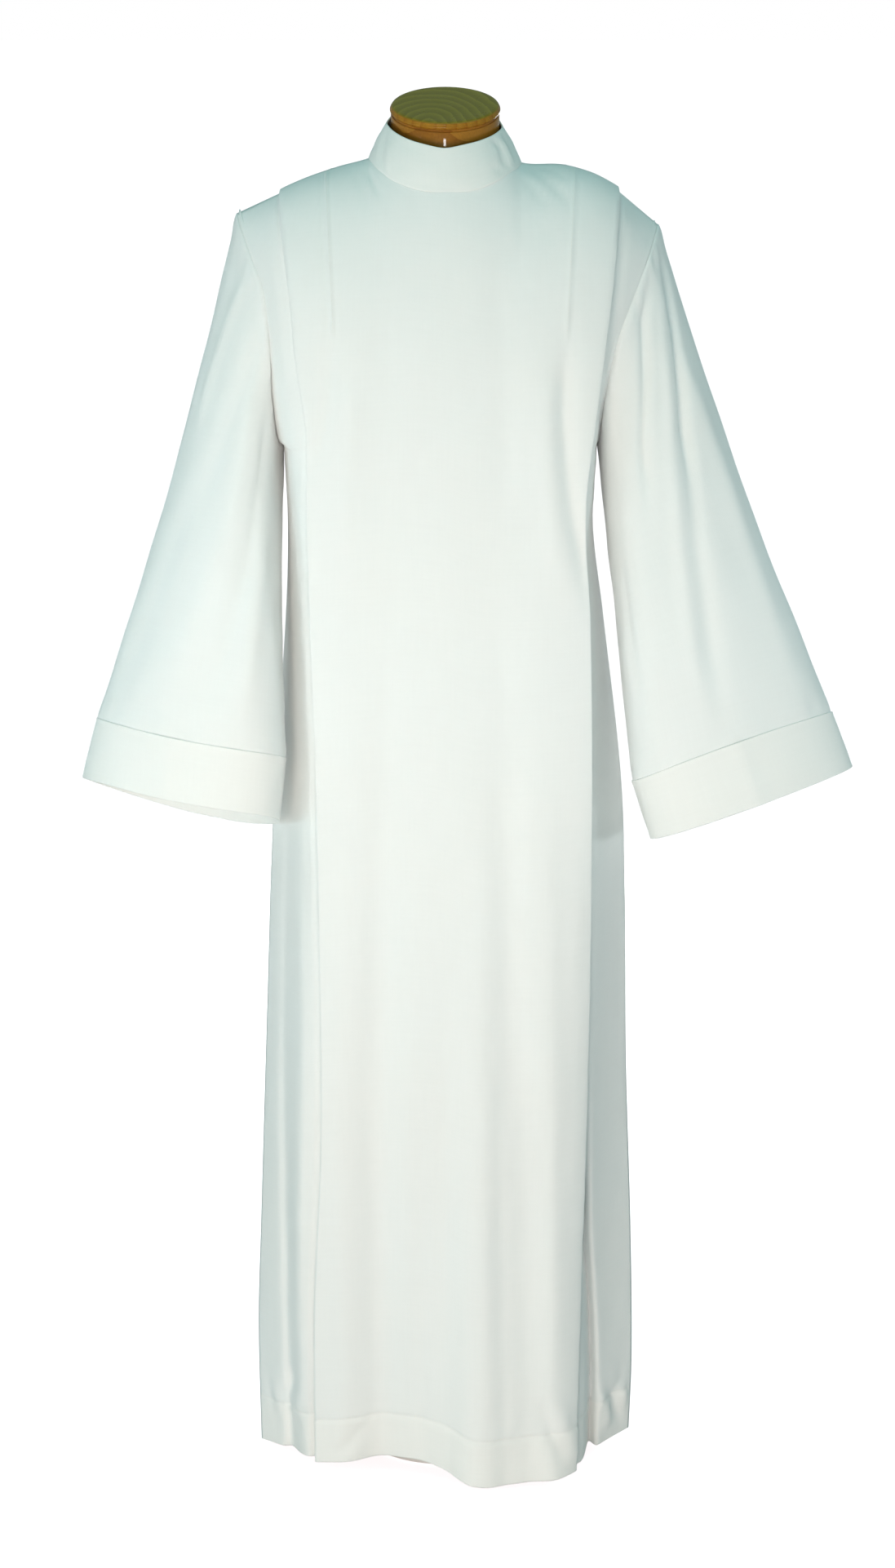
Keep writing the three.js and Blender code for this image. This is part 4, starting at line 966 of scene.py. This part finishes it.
def square_edges(columns, neck_from, neck_to, centre):
    """Where the cloth's edge is kept square because front and back meet there."""
    j = np.arange(columns)
    at_neck = (j > neck_from) & (j < neck_to)
    on_top = LEVELS[:, None] > SHOULDER_LEVEL
    ends = ((j == 0) | (j == columns - 1)) & ~np.isin(j, centre)
    return (on_top & ~at_neck) | (ends & ((LEVELS[:, None] <= 1) | on_top))


def body_wall(name, grid, square):
    return cloth_wall(name, grid, CLOTH / 2, INSIDE, square=square, doubled=HEM_DOUBLED,
                      sewn=("top", "start", "end"))


def front_wall():
    """The front, in one piece from side seam to side seam."""
    left, right = (half_body(FRONT, side, LEVELS) for side in (LEFT, RIGHT))
    points, lift = (np.concatenate([a[:, :0:-1], b], axis=1) for a, b in zip(left, right))
    grid = points + lift * body_relief(FRONT, FRONT_CREASES, points, LEVELS)[..., None]
    centre = grid.shape[1] // 2
    square = square_edges(grid.shape[1], centre - NECK_COLUMNS, centre + NECK_COLUMNS, [])
    return body_wall("front_panel", grid, square)


def back_wall(side):
    """One half of the back. The halves meet at the centre back, under the concealed closure."""
    points, lift = half_body(BACK, side, LEVELS)
    points[:, 0, 0] = side * SEAM_GAP / 2
    grid = points + lift * body_relief(BACK, BACK_CREASES, points, LEVELS)[..., None]
    grid[:, 0, 0] = side * SEAM_GAP / 2
    last = grid.shape[1] - 1
    if side == RIGHT:
        grid = grid[:, ::-1]
        square = square_edges(last + 1, last - NECK_COLUMNS, last + 1, [last])
    else:
        square = square_edges(last + 1, -1, NECK_COLUMNS, [0])
    return body_wall("back_panel_" + SIDE_NAME[side], grid, square)


# ---- sleeves, cuffs and collar ----------------------------------------------------------------------

LOOP_POINTS = 2 * UPPER_ROWS
LOOP_ANGLES = np.arange(LOOP_POINTS) * 2 * math.pi / LOOP_POINTS


def key_loop(keys, side):
    """A closed loop through four key points. Angle 0 is the outer edge, a quarter turn the front."""
    outer, front, inner, back = (np.array(key, float) * (side, 1, 1) for key in keys)
    c, s = np.cos(LOOP_ANGLES)[:, None], np.sin(LOOP_ANGLES)[:, None]
    return (outer * (c * c / 2 + c / 2) + inner * (c * c / 2 - c / 2)
            + front * (s * s / 2 + s / 2) + back * (s * s / 2 - s / 2))


def facing_out(rows, side):
    """Rows of a loop with their columns in the order that turns the faces outwards, on either side."""
    return rows if side == LEFT else rows[:, ::-1]


def armhole_loop(side, front, back):
    """The armhole from the shoulder tip down the front and up the back, with the body's normals there."""
    front_column, back_column = (0, -1) if side == LEFT else (-1, 0)
    down = np.arange(len(LEVELS) - 1, len(LEVELS) - UPPER_ROWS - 2, -1)
    up = down[-2:0:-1]
    points = np.concatenate([edge_point(FRONT, side, LEVELS[down]), edge_point(BACK, side, LEVELS[up])])
    normals = np.concatenate([front["normals"][down, front_column], back["normals"][up, back_column]])
    return points, normals


def sleeve_wall(side, front, back):
    """The wide sleeve, hung from the armhole, with its allowances turned into the body and under the cuff."""
    armhole, seam_normals = armhole_loop(side, front, back)
    end = key_loop(SLEEVE_END[side], side)
    under = np.maximum(0, -np.cos(LOOP_ANGLES)) ** 2
    outer = np.maximum(0, np.cos(LOOP_ANGLES)) ** 2
    swing_x, swing_y = UNDERARM_SWING[side]

    def hang(share):
        share = np.asarray(share, float)[:, None]
        swell = np.sin(math.pi * share)
        points = armhole[None] * (1 - share[..., None]) + end[None] * share[..., None]
        points[..., 0] += side * swell * (swing_x * under - OUTER_SAG * outer)
        points[..., 1] += swell * (swing_y * under - SLEEVE_FULLNESS * np.sin(LOOP_ANGLES))
        return points

    shares = np.r_[0, 0.005, 0.011, 0.019, 0.030, 0.042, np.linspace(0.055, 0.975, SLEEVE_ROWS),
                   0.984, 0.991, 0.996, 1]
    grid = hang(shares)
    # Beside the armhole the cloth stands out over the seam allowances.
    first = hang([0.05])[0]
    turns_back = ease((1 - np.cos(LOOP_ANGLES)) / 2 - 0.1)[:, None]
    seat = seam_normals * (1.1 + 1.1 * turns_back) + unit(first - armhole) * 0.8 * (1 - turns_back)
    grid += seat[None] * np.maximum(0, 1 - shares / 0.05)[:, None, None]

    # Creases, the cloth's own unevenness, then what the armhole's and the cuff's seams gather and pull in.
    degrees, share = np.degrees(LOOP_ANGLES)[None], shares[:, None]
    around, from_seam, to_cuff = degrees * SLEEVE_DEGREE, share * SLEEVE_LENGTH, (1 - share) * SLEEVE_LENGTH
    relief = crease_relief(SLEEVE_CREASES[side], degrees, share, SLEEVE_DEGREE, SLEEVE_LENGTH)
    relief = relief + 0.6 * unevenness(around, share * 260, 64, 2 + side)
    gathers = 1.1 + 0.9 * unevenness(around, share * 40, 21, 5 + side)
    relief = relief + bump(from_seam - 9, 12) * gathers * ease(share / 0.008)
    relief = relief + bump(to_cuff - 14, 16) * 0.9 * unevenness(around, to_cuff * 0.4, 24, 9 + side)
    relief = relief - 0.5 * bump(to_cuff, 3)
    outward = facing_out(grid_normals(facing_out(grid[::-1], side), True), side)[::-1]
    grid = grid + outward * relief[..., None]

    inward = -unit(first - armhole)
    turned_in = armhole - seam_normals * 2.2
    under_cuff = mix(end, key_loop(CUFF_END[side], side), ALLOWANCE / CUFF_DEPTH)
    under_cuff = under_cuff - unit((under_cuff - under_cuff.mean(axis=0)) * (1, 1, 0)) * 2.0
    grid = np.concatenate([(turned_in + inward * ALLOWANCE)[None], (turned_in + inward * 0.6)[None], grid,
                           under_cuff[None]])
    return cloth_wall("sleeve_hung_" + SIDE_NAME[side], facing_out(grid[::-1], side), CLOTH / 2, CLOTH / 2,
                      closed=True)


def cuff_wall(side):
    """The doubled band at the sleeve's end, pressed with a crease at its front and its back."""
    shares = np.r_[1, 0.985, np.linspace(0.95, 0.10, CUFF_ROWS - 6), 0.06, 0.035, 0.018, 0.006]
    top, bottom = key_loop(SLEEVE_END[side], side), key_loop(CUFF_END[side], side)
    grid = top[None] * (1 - shares)[:, None, None] + bottom[None] * shares[:, None, None]
    degrees = np.degrees(LOOP_ANGLES)[None]
    relief = np.zeros(grid.shape[:2])
    for height, width, turn in CUFF_CREASES[side]:
        relief = relief + height * np.exp(-np.abs(degrees - turn) * CUFF_DEGREE / width)
    relief = relief + 0.35 * unevenness(degrees * CUFF_DEGREE, shares[:, None] * 60, 46, 11 + side)
    relief = relief + 0.45 * bump((shares[:, None] - 0.02) * CUFF_DEPTH, 3)      # the seam's ridge
    rows, relief = facing_out(grid, side), facing_out(relief, side)
    rows = rows + grid_normals(rows, True) * relief[..., None]
    outside = CLOTH / 2 + CUFF_PROUD
    return cloth_wall("cuff_band_" + SIDE_NAME[side], rows, outside, CUFF_CLOTH - outside, closed=True,
                      doubled=np.ones(len(shares)))


def neckline(front, back_left, back_right):
    """The neckline from the centre back round the left, front and right: points, normals, angles, sides."""
    centre = front["grid"].shape[1] // 2
    near = np.arange(NECK_COLUMNS + 1)
    turn = near * 90 / NECK_COLUMNS
    back_end = back_right["grid"].shape[1] - 1
    runs = [
        (back_left, near[:-1], 180 - turn[:-1], LEFT),
        (front, centre - near[::-1], turn[::-1], LEFT),
        (front, centre + near[1:], turn[1:], RIGHT),
        (back_right, back_end - near[-2::-1], 180 - turn[-2::-1], RIGHT),
    ]
    points = np.concatenate([wall["grid"][-1, columns] for wall, columns, _, _ in runs])
    normals = np.concatenate([wall["normals"][-1, columns] for wall, columns, _, _ in runs])
    angles = np.concatenate([angle for _, _, angle, _ in runs])
    sides = np.concatenate([np.full(len(angle), side) for _, _, angle, side in runs])
    return points, normals, angles, sides


def collar_wall(front, back_left, back_right):
    """The interfaced stand collar, from the neckline up to its own top edge."""
    points, normals, angles, sides = neckline(front, back_left, back_right)
    turn = np.radians(angles)
    ahead = np.cos(turn)
    centre_x = (COLLAR_TOP["left"] + COLLAR_TOP["right"]) / 2
    half_width = (COLLAR_TOP["right"] - COLLAR_TOP["left"]) / 2
    side_z = np.where(sides == LEFT, COLLAR_TOP_Z[LEFT], COLLAR_TOP_Z[RIGHT])
    end_z = np.where(ahead > 0, COLLAR_TOP_Z["front"], COLLAR_TOP_Z["back"])
    end_y = np.where(ahead > 0, COLLAR_TOP["front"], COLLAR_TOP["back"])
    top = stack(centre_x + sides * half_width * np.sin(turn), mix(COLLAR_TOP["y"], end_y, np.abs(ahead)),
                mix(side_z, end_z, np.abs(ahead) ** 1.4) - COLLAR_DIP * bump(angles, 14))
    before = points[np.maximum(np.arange(len(points)) - 1, 0)]
    after = points[np.minimum(np.arange(len(points)) + 1, len(points) - 1)]
    inward = unit(np.cross(normals, after - before))
    base = points + inward * (SEAM_GAP + 0.15) + (0, 0, 0.4)
    at_back = angles == 180
    for row in (top, base):
        row[at_back, 0] = sides[at_back] * SEAM_GAP / 2
    shares = np.r_[0, 0.01, 0.03, 0.06, np.linspace(0.1, 0.9, COLLAR_ROWS - 6), 0.95, 0.98, 1]
    share = shares[:, None]
    grid = base[None] * (1 - share[..., None]) + top[None] * share[..., None]
    belly = COLLAR_BELLY * np.sin(math.pi * share)
    grid[..., 0] += np.where(at_back, 0, sides * np.sin(turn) * belly)
    grid[..., 1] -= ahead * belly
    signed = sides * angles
    relief = crease_relief(COLLAR_CREASES, signed, share, COLLAR_DEGREE, COLLAR_HEIGHT)
    relief = relief + 0.35 * unevenness(signed * COLLAR_DEGREE, share * 50, 30, 3) * np.where(at_back, 0, 1)
    grid = grid + grid_normals(grid, False) * relief[..., None]
    turned_in = points - normals * 2.0
    grid = np.concatenate([(turned_in - inward * ALLOWANCE)[None], (turned_in - inward * 0.4)[None], grid])
    grid[:, at_back, 0] = sides[at_back] * SEAM_GAP / 2
    return cloth_wall("stand_collar", grid, COLLAR_CLOTH / 2, COLLAR_CLOTH / 2, doubled=np.ones(len(grid)))


# ---- stitching --------------------------------------------------------------------------------------

def make_stitch_run():
    """A run of machine stitches along a line of edges, each a short rounded length of thread."""
    tree = bpy.data.node_groups.new("stitch_run", "GeometryNodeTree")
    tree.interface.new_socket(name="Geometry", in_out="INPUT", socket_type="NodeSocketGeometry")
    for label in ("Stitch Length", "Gap", "Thread Width"):
        tree.interface.new_socket(name=label, in_out="INPUT", socket_type="NodeSocketFloat")
    tree.interface.new_socket(name="Thread", in_out="INPUT", socket_type="NodeSocketMaterial")
    tree.interface.new_socket(name="Geometry", in_out="OUTPUT", socket_type="NodeSocketGeometry")
    given = tree.nodes.new("NodeGroupInput").outputs
    curve = node(tree, "GeometryNodeMeshToCurve", {"Mesh": given["Geometry"]}).outputs[0]
    pitch = calculate(tree, "ADD", given["Stitch Length"], given["Gap"])
    spots = node(tree, "GeometryNodeCurveToPoints", {"Curve": curve, "Length": pitch}, mode="LENGTH").outputs
    turn = node(tree, "FunctionNodeAlignRotationToVector", {"Vector": spots["Tangent"]}, axis="Z").outputs[0]
    bead = node(tree, "GeometryNodeMeshIcoSphere", {"Radius": 1.0, "Subdivisions": 1}).outputs["Mesh"]
    half_width = calculate(tree, "MULTIPLY", given["Thread Width"], 0.5)
    half_length = calculate(tree, "MULTIPLY", given["Stitch Length"], 0.5)
    size = node(tree, "ShaderNodeCombineXYZ", {"X": half_width, "Y": half_width, "Z": half_length}).outputs[0]
    placed = node(tree, "GeometryNodeInstanceOnPoints", {"Points": spots["Points"], "Instance": bead,
                                                         "Rotation": turn, "Scale": size}).outputs[0]
    real = node(tree, "GeometryNodeRealizeInstances", {"Geometry": placed}).outputs[0]
    smooth = node(tree, "GeometryNodeSetShadeSmooth", {"Geometry": real}).outputs[0]
    made = node(tree, "GeometryNodeSetMaterial", {"Geometry": smooth, "Material": given["Thread"]}).outputs[0]
    tree.links.new(made, tree.nodes.new("NodeGroupOutput").inputs[0])
    return tree


STITCH_RUN = make_stitch_run()


def sew(name, lines):
    """Stitches along lines that lie on the cloth, as one piece."""
    points, edges = [], []
    for line in lines:
        edges += [(len(points) + k, len(points) + k + 1) for k in range(len(line) - 1)]
        points += in_frame(line).tolist()
    guide = bpy.data.meshes.new(name + "_line")
    guide.from_pydata(points, edges, [])
    piece = bpy.data.objects.new(name, guide)
    bpy.context.scene.collection.objects.link(piece)
    run = piece.modifiers.new("stitch_run", "NODES")
    run.node_group = STITCH_RUN
    sizes = {"Stitch Length": STITCH_LENGTH * MM, "Gap": STITCH_GAP * MM, "Thread Width": THREAD_WIDTH * MM,
             "Thread": THREAD}
    for item in STITCH_RUN.interface.items_tree:
        if item.in_out == "INPUT" and item.name in sizes:
            run[item.identifier] = sizes[item.name]
    view = bpy.context.evaluated_depsgraph_get()
    sewn = bpy.data.meshes.new_from_object(piece.evaluated_get(view), depsgraph=view)
    piece.modifiers.clear()
    piece.data = sewn
    piece.data.name = name
    bpy.data.meshes.remove(guide)
    return piece


def on_cloth(wall, rows, columns):
    """A line of points on the outer face of a wall."""
    return wall["grid"][rows, columns] + wall["normals"][rows, columns] * (CLOTH / 2 + THREAD_LIFT)


def hem_lines(wall):
    """The hem's stitches, one run for each stretch of cloth that lies outermost."""
    shown = STITCH_COLUMN + len(PLEAT_COLUMNS) + 3       # to halfway round the pleat's fold
    columns = wall["grid"].shape[1]
    first_strip, last_strip = np.arange(0, STRIP_COLUMNS), np.arange(columns - STRIP_COLUMNS, columns)
    if wall["piece"].name == "front_panel":
        centre = columns // 2
        runs = [np.arange(centre - shown, centre + shown + 1), first_strip, last_strip]
    elif wall["piece"].name == "back_panel_left":
        runs = [np.arange(1, shown + 1), last_strip]
    else:
        runs = [np.arange(columns - 1 - shown, columns - 1), first_strip]
    return [on_cloth(wall, HEM_STITCH_ROW, run) for run in runs]


def line_down(wall, column, lowest, highest_level):
    """Points down one column of a wall, from a level near its top to a height."""
    rows = np.flatnonzero((wall["grid"][:, column, 2] > lowest) & (LEVELS < highest_level))
    return on_cloth(wall, rows, column)


def tuck_line(wall, side):
    """The stitches that hold a pleat down, from the shoulder to where it opens."""
    columns = wall["grid"].shape[1]
    if wall["piece"].name == "front_panel":
        column = columns // 2 + side * STITCH_COLUMN
    else:
        column = STITCH_COLUMN if side == LEFT else columns - 1 - STITCH_COLUMN
    return line_down(wall, column, PLEAT_STITCH_END, 1.99)


def closure_line(wall, side):
    """Topstitching beside the concealed closure, from the neckline down."""
    column = 2 if side == LEFT else wall["grid"].shape[1] - 3
    return line_down(wall, column, CLOSURE_END, SHOULDER_LEVEL)


# ---- the tailor's form ------------------------------------------------------------------------------

NECK_SLOPE = math.tan(NECK_TILT)


def form_ring(z, half_width, front, back, square=2.0, lean=0.0, centre=(0.0, SEAM_Y), count=RING_POINTS):
    """A level ring, or a leaning one, whose plan is a rounded rectangle with its own front and back depth."""
    angle = np.arange(count) * 2 * math.pi / count
    c, s = np.cos(angle), np.sin(angle)
    across = np.sign(c) * np.abs(c) ** (2 / square) * half_width
    along = np.sign(s) * np.abs(s) ** (2 / square) * np.where(s < 0, front, back)
    return stack(centre[0] + across, centre[1] + along, z + along * lean * NECK_SLOPE)


def loft(name, rings, material, sharp=40):
    """One closed body from rings of points in the alb's millimetres, lowest first, with flat ends."""
    count = len(rings[0])
    faces = [
        (i * count + j, i * count + (j + 1) % count, (i + 1) * count + (j + 1) % count, (i + 1) * count + j)
        for i in range(len(rings) - 1) for j in range(count)
    ]
    top = (len(rings) - 1) * count
    faces.append(tuple(range(count - 1, -1, -1)))
    faces.append(tuple(range(top, top + count)))
    return new_object(name, in_frame(np.concatenate(rings)), faces, material, sharp=sharp)


def turned_rings(profile, centre, tilt=0.0, count=TURNED_POINTS):
    """Rings of a turned piece from its profile of (radius, height) about a centre."""
    angle = np.arange(count) * 2 * math.pi / count
    rings = []
    for radius, height in profile:
        x, y = radius * np.cos(angle), radius * np.sin(angle)
        turned = stack(x, y * math.cos(tilt) - height * math.sin(tilt),
                       y * math.sin(tilt) + height * math.cos(tilt))
        rings.append(turned + centre)
    return rings


def rounded_corner(radius, height, size):
    """The profile of an edge rounded over, ending at (radius - size, height)."""
    angles = np.linspace(0, math.pi / 2, 6)
    return [(radius - size + size * math.cos(a), height - (size - size * math.sin(a))) for a in angles]


def torso_cover():
    """The padded torso in its linen cover, with seams sunk down both sides and the centre front."""
    seams = np.zeros(RING_POINTS)
    for place in (0, RING_POINTS // 2, 3 * RING_POINTS // 4):
        away = np.abs((np.arange(RING_POINTS) - place + RING_POINTS / 2) % RING_POINTS - RING_POINTS / 2)
        seams += bump(away, 0.6)
    middle = np.array([0, SEAM_Y, 0])
    rings = []
    for z in np.r_[np.linspace(728, 740, 6), np.linspace(748, 1436, 84), np.linspace(1441, 1481, 16)]:
        ring = form_ring(z, *(read(TORSO, z, column) for column in (1, 2, 3, 4)))
        rings.append(ring - unit((ring - middle) * (1, 1, 0)) * (seams * COVER_SEAM)[:, None])
    for z in np.linspace(1490, 1507, 12):
        half_width, front, back, lean = (read(TORSO_NECK, z, column) for column in (1, 2, 3, 4))
        rings.append(form_ring(z, half_width, front, back, lean=lean, centre=(NECK_X, BLOCK_Y)))
    return loft("form_torso_cover", rings, FORM_LINEN, sharp=60)


def neck_block():
    """The upright block, its ends cut at the neck's tilt, with the groove turned below the cap."""
    foot = [(3, 0), (1.6, 2), (1, 5), (0.3, 9), (0, 14)]
    shoulder = [(0, -8), (0, -1.4), (0.1, -0.8), (0.4, -0.25), (0.9, 0), (GROOVE_DEPTH - 0.4, 0),
                (GROOVE_DEPTH, 0.5), (GROOVE_DEPTH, 2)]
    rings = []
    for start, insets in ((BLOCK_FOOT, foot), (BLOCK_SHOULDER, shoulder)):
        for inset, rise in insets:
            radius = BLOCK_RADIUS - inset
            depth = radius * math.cos(NECK_TILT)
            rings.append(form_ring(start + rise, radius, depth, depth, lean=1, centre=(NECK_X, BLOCK_Y),
                                   count=TURNED_POINTS))
    return loft("neck_block_turned", rings, BLOCK_WOOD)


def neck_cap():
    """The turned cap: a disc with a bulged side and its upper edge rounded over, tilted with the neck."""
    r, h = NECK_RADIUS, CAP_HEIGHT
    profile = [(r - 2.0, 0), (r - 1.4, 0.2)]
    profile += [(r - 1.2 * a * a, h * 0.36 + a * h * 0.30) for a in np.linspace(-1, 1, 11)]
    profile += [(r - 6.2 + 5 * math.cos(a), h * 0.66 + h * 0.34 * math.sin(a))
                for a in np.linspace(0.1, math.pi / 2, 9)]
    profile += [(r - 12, h), (r - 30, h), (6, h)]
    lowered = [(radius, height - h) for radius, height in profile]
    return loft("neck_cap_turned", turned_rings(lowered, (NECK_X, NECK_Y, NECK_TOP), NECK_TILT), CAP_WOOD)


def stand_base():
    """The steel foot plate with the socket that the pole stands in."""
    r, h = BASE_RADIUS, BASE_HEIGHT
    top = h + SOCKET_HEIGHT
    profile = [(r - BASE_BEVEL, 0), (r - 0.5, 0.4), (r, BASE_BEVEL), *rounded_corner(r, h, BASE_BEVEL),
               (SOCKET_RADIUS + 3, h), (SOCKET_RADIUS + 1.2, h + 0.5), (SOCKET_RADIUS + 0.3, h + 1.6),
               (SOCKET_RADIUS, h + 3), *rounded_corner(SOCKET_RADIUS, top, 3), (POLE_RADIUS + 0.4, top)]
    return loft("stand_foot", turned_rings(profile, (0, BASE_Y, -POLE_SET)), STEEL)


def stand_pole():
    """The tube between the socket and the torso."""
    foot = BASE_HEIGHT + SOCKET_HEIGHT + METAL_GAP
    head = TORSO[0][0] + POLE_SET - METAL_GAP
    r = POLE_RADIUS
    profile = [(r - 0.6, foot), (r, foot + 0.6), (r, head - 0.6), (r - 0.6, head)]
    return loft("stand_pole_tube", turned_rings(profile, (0, BASE_Y, -POLE_SET), count=64), STEEL)


# ---- the studio -------------------------------------------------------------------------------------

# Each light: name, place, what it points at, size, watts, colour, and how wide it spreads in degrees.
LIGHTS = [
    ("key_from_the_left", (-0.66, -3.0, 0.80), (0, 0, 0.72), (1.2, 0.9), 39, (1.0, 0.87, 0.775), 180),
    ("grid_for_the_left_sleeve", (-2.7, -1.9, 1.20), (-0.36, 0, 1.02), (0.7, 0.4), 0.42, (0.86, 0.98, 1), 26),
    ("cool_far_left", (-3.0, -0.9, 0.7), (-0.2, 0, 0.6), (1.0, 1.2), 7, (0.42, 0.90, 1), 180),
    ("grid_for_the_right_sleeve", (2.9, -1.3, 1.15), (0.42, 0, 0.98), (0.7, 0.4), 0.42, (0.92, 0.99, 1), 26),
    ("floor_bounce", (0.05, -2.5, 0.12), (0, 0, 0.15), (1.2, 0.3), 1.4, (1.0, 0.74, 0.72), 90),
    ("cool_overhead", (0.2, -0.7, 4.1), (0, 0, 1.4), (3.2, 2.2), 16, (0.16, 1.0, 0.90), 180),
    ("catchlight", (-0.06, -4.5, 1.36), (0, 0, 1.5), (0.34, 0.24), 10, (1.0, 1.0, 1.0), 180),
    ("lift_from_behind", (0.7, 3.2, 0.75), (0, 0, 0.75), (1.8, 1.2), 44, (1.0, 0.96, 0.94), 180),
]
ROOM_LIGHT = (0.82, 1.0, 1.0, 1)
ROOM_STRENGTH = 0.35
FLOOR_LIFT = (0.88, 0.83, 0.84, 1)
FLOOR_REACH = 400.0
CAMERA_PLACE, CAMERA_DOWN, CAMERA_LENS = (0.0, -4.300, 1.694), 11.8, 89.03


def make_floor():
    """A pale floor that reaches past the view, lifted for the eye so that it meets the background."""
    corners = [(-1, -1), (1, -1), (1, 1), (-1, 1)]
    mesh = bpy.data.meshes.new("studio_floor")
    mesh.from_pydata([(x * FLOOR_REACH, y * FLOOR_REACH, 0) for x, y in corners], [], [(0, 1, 2, 3)])
    material, tree, shader, place = new_finish("pale_floor", 0.9, Specular_IOR_Level=0.1)
    soiled = placed_group(tree, HANDLING, {"Place": place, "Size": 0.6})["Mask"]
    colour = colour_between(tree, soiled, (0.82, 0.82, 0.82), (0.80, 0.80, 0.80))
    tree.links.new(colour, shader.inputs["Base Color"])
    seen = tree.nodes.new("ShaderNodeLightPath").outputs["Is Camera Ray"]
    shader.inputs["Emission Color"].default_value = FLOOR_LIFT
    tree.links.new(seen, shader.inputs["Emission Strength"])
    mesh.materials.append(material)
    floor = bpy.data.objects.new("studio_floor", mesh)
    bpy.context.scene.collection.objects.link(floor)


def soft_light(name, place, aim, size, watts, colour, spread):
    """A soft box that the camera doesn't see."""
    lamp = bpy.data.lights.new(name, "AREA")
    lamp.spread = math.radians(spread)
    lamp.shape = "RECTANGLE"
    lamp.size, lamp.size_y = size
    lamp.energy = watts
    lamp.color = colour
    holder = bpy.data.objects.new(name, lamp)
    holder.location = place
    holder.rotation_euler = (Vector(aim) - Vector(place)).to_track_quat("-Z", "Y").to_euler()
    holder.visible_camera = False
    bpy.context.scene.collection.objects.link(holder)


def make_room():
    """Dim cool light from all round, and a plain white background."""
    world = bpy.data.worlds.new("white_studio")
    world.use_nodes = True
    tree = world.node_tree
    light = tree.nodes["Background"]
    light.inputs["Color"].default_value = ROOM_LIGHT
    light.inputs["Strength"].default_value = ROOM_STRENGTH
    white = node(tree, "ShaderNodeBackground", {"Color": (1.0, 1.0, 1.0, 1), "Strength": 1.0}).outputs[0]
    seen = tree.nodes.new("ShaderNodeLightPath").outputs["Is Camera Ray"]
    chosen = node(tree, "ShaderNodeMixShader", {0: seen, 1: light.outputs[0], 2: white}).outputs[0]
    tree.links.new(chosen, tree.nodes["World Output"].inputs["Surface"])
    bpy.context.scene.world = world
    bpy.context.scene.view_settings.view_transform = "Standard"


def make_camera():
    lens = bpy.data.cameras.new("front_camera")
    lens.sensor_width = 36.0
    lens.lens = CAMERA_LENS
    lens.clip_start, lens.clip_end = 0.05, 100.0
    camera = bpy.data.objects.new("front_camera", lens)
    camera.location = CAMERA_PLACE
    camera.rotation_euler = (math.radians(90 - CAMERA_DOWN), 0, 0)
    bpy.context.scene.collection.objects.link(camera)
    bpy.context.scene.camera = camera


# ---- putting it together ----------------------------------------------------------------------------

def dress(wall, cad_node):
    """Puts a cloth piece in its CAD solid's place."""
    piece, cut = wall["piece"], wall["cut"]
    finish_piece(piece, "alb_cloth", cad_node)


def finish_piece(piece, slot, *cad_nodes):
    """Says what a piece rides on and which CAD solids it takes the place of; the finish slot that it is given
    is not used.
    """
    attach(piece, "root")
    if cad_nodes:
        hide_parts(*cad_nodes)


make_camera()
make_floor()
make_room()
for light in LIGHTS:
    soft_light(*light)

front_piece = front_wall()
back_pieces = {side: back_wall(side) for side in (LEFT, RIGHT)}
sleeves = {side: sleeve_wall(side, front_piece, back_pieces[side]) for side in (LEFT, RIGHT)}
cuffs = {side: cuff_wall(side) for side in (LEFT, RIGHT)}
collar = collar_wall(front_piece, back_pieces[LEFT], back_pieces[RIGHT])

body = (front_piece, *back_pieces.values())
hem_stitches = sew("hem_stitches", [line for wall in body for line in hem_lines(wall)])
tuck_stitches = sew("pleat_stitches", [tuck_line(wall, side) for side in (LEFT, RIGHT)
                                       for wall in (front_piece, back_pieces[side])])
closure_stitches = sew("closure_stitches", [closure_line(back_pieces[side], side) for side in (LEFT, RIGHT)])

dress(front_piece, "front")
dress(back_pieces[LEFT], "back_left")
dress(back_pieces[RIGHT], "back_right")
dress(sleeves[LEFT], "sleeve_left")
dress(sleeves[RIGHT], "sleeve_right")
dress(cuffs[LEFT], "cuff_left")
dress(cuffs[RIGHT], "cuff_right")
dress(collar, "collar")
for stitches in (hem_stitches, tuck_stitches, closure_stitches):
    finish_piece(stitches, "alb_cloth")

finish_piece(torso_cover(), "form_cover", "form_torso")
finish_piece(neck_block(), "neck_wood", "neck_block")
finish_piece(neck_cap(), "neck_wood", "neck_cap")
finish_piece(stand_base(), "stand_steel", "form_base")
finish_piece(stand_pole(), "stand_steel", "form_pole")
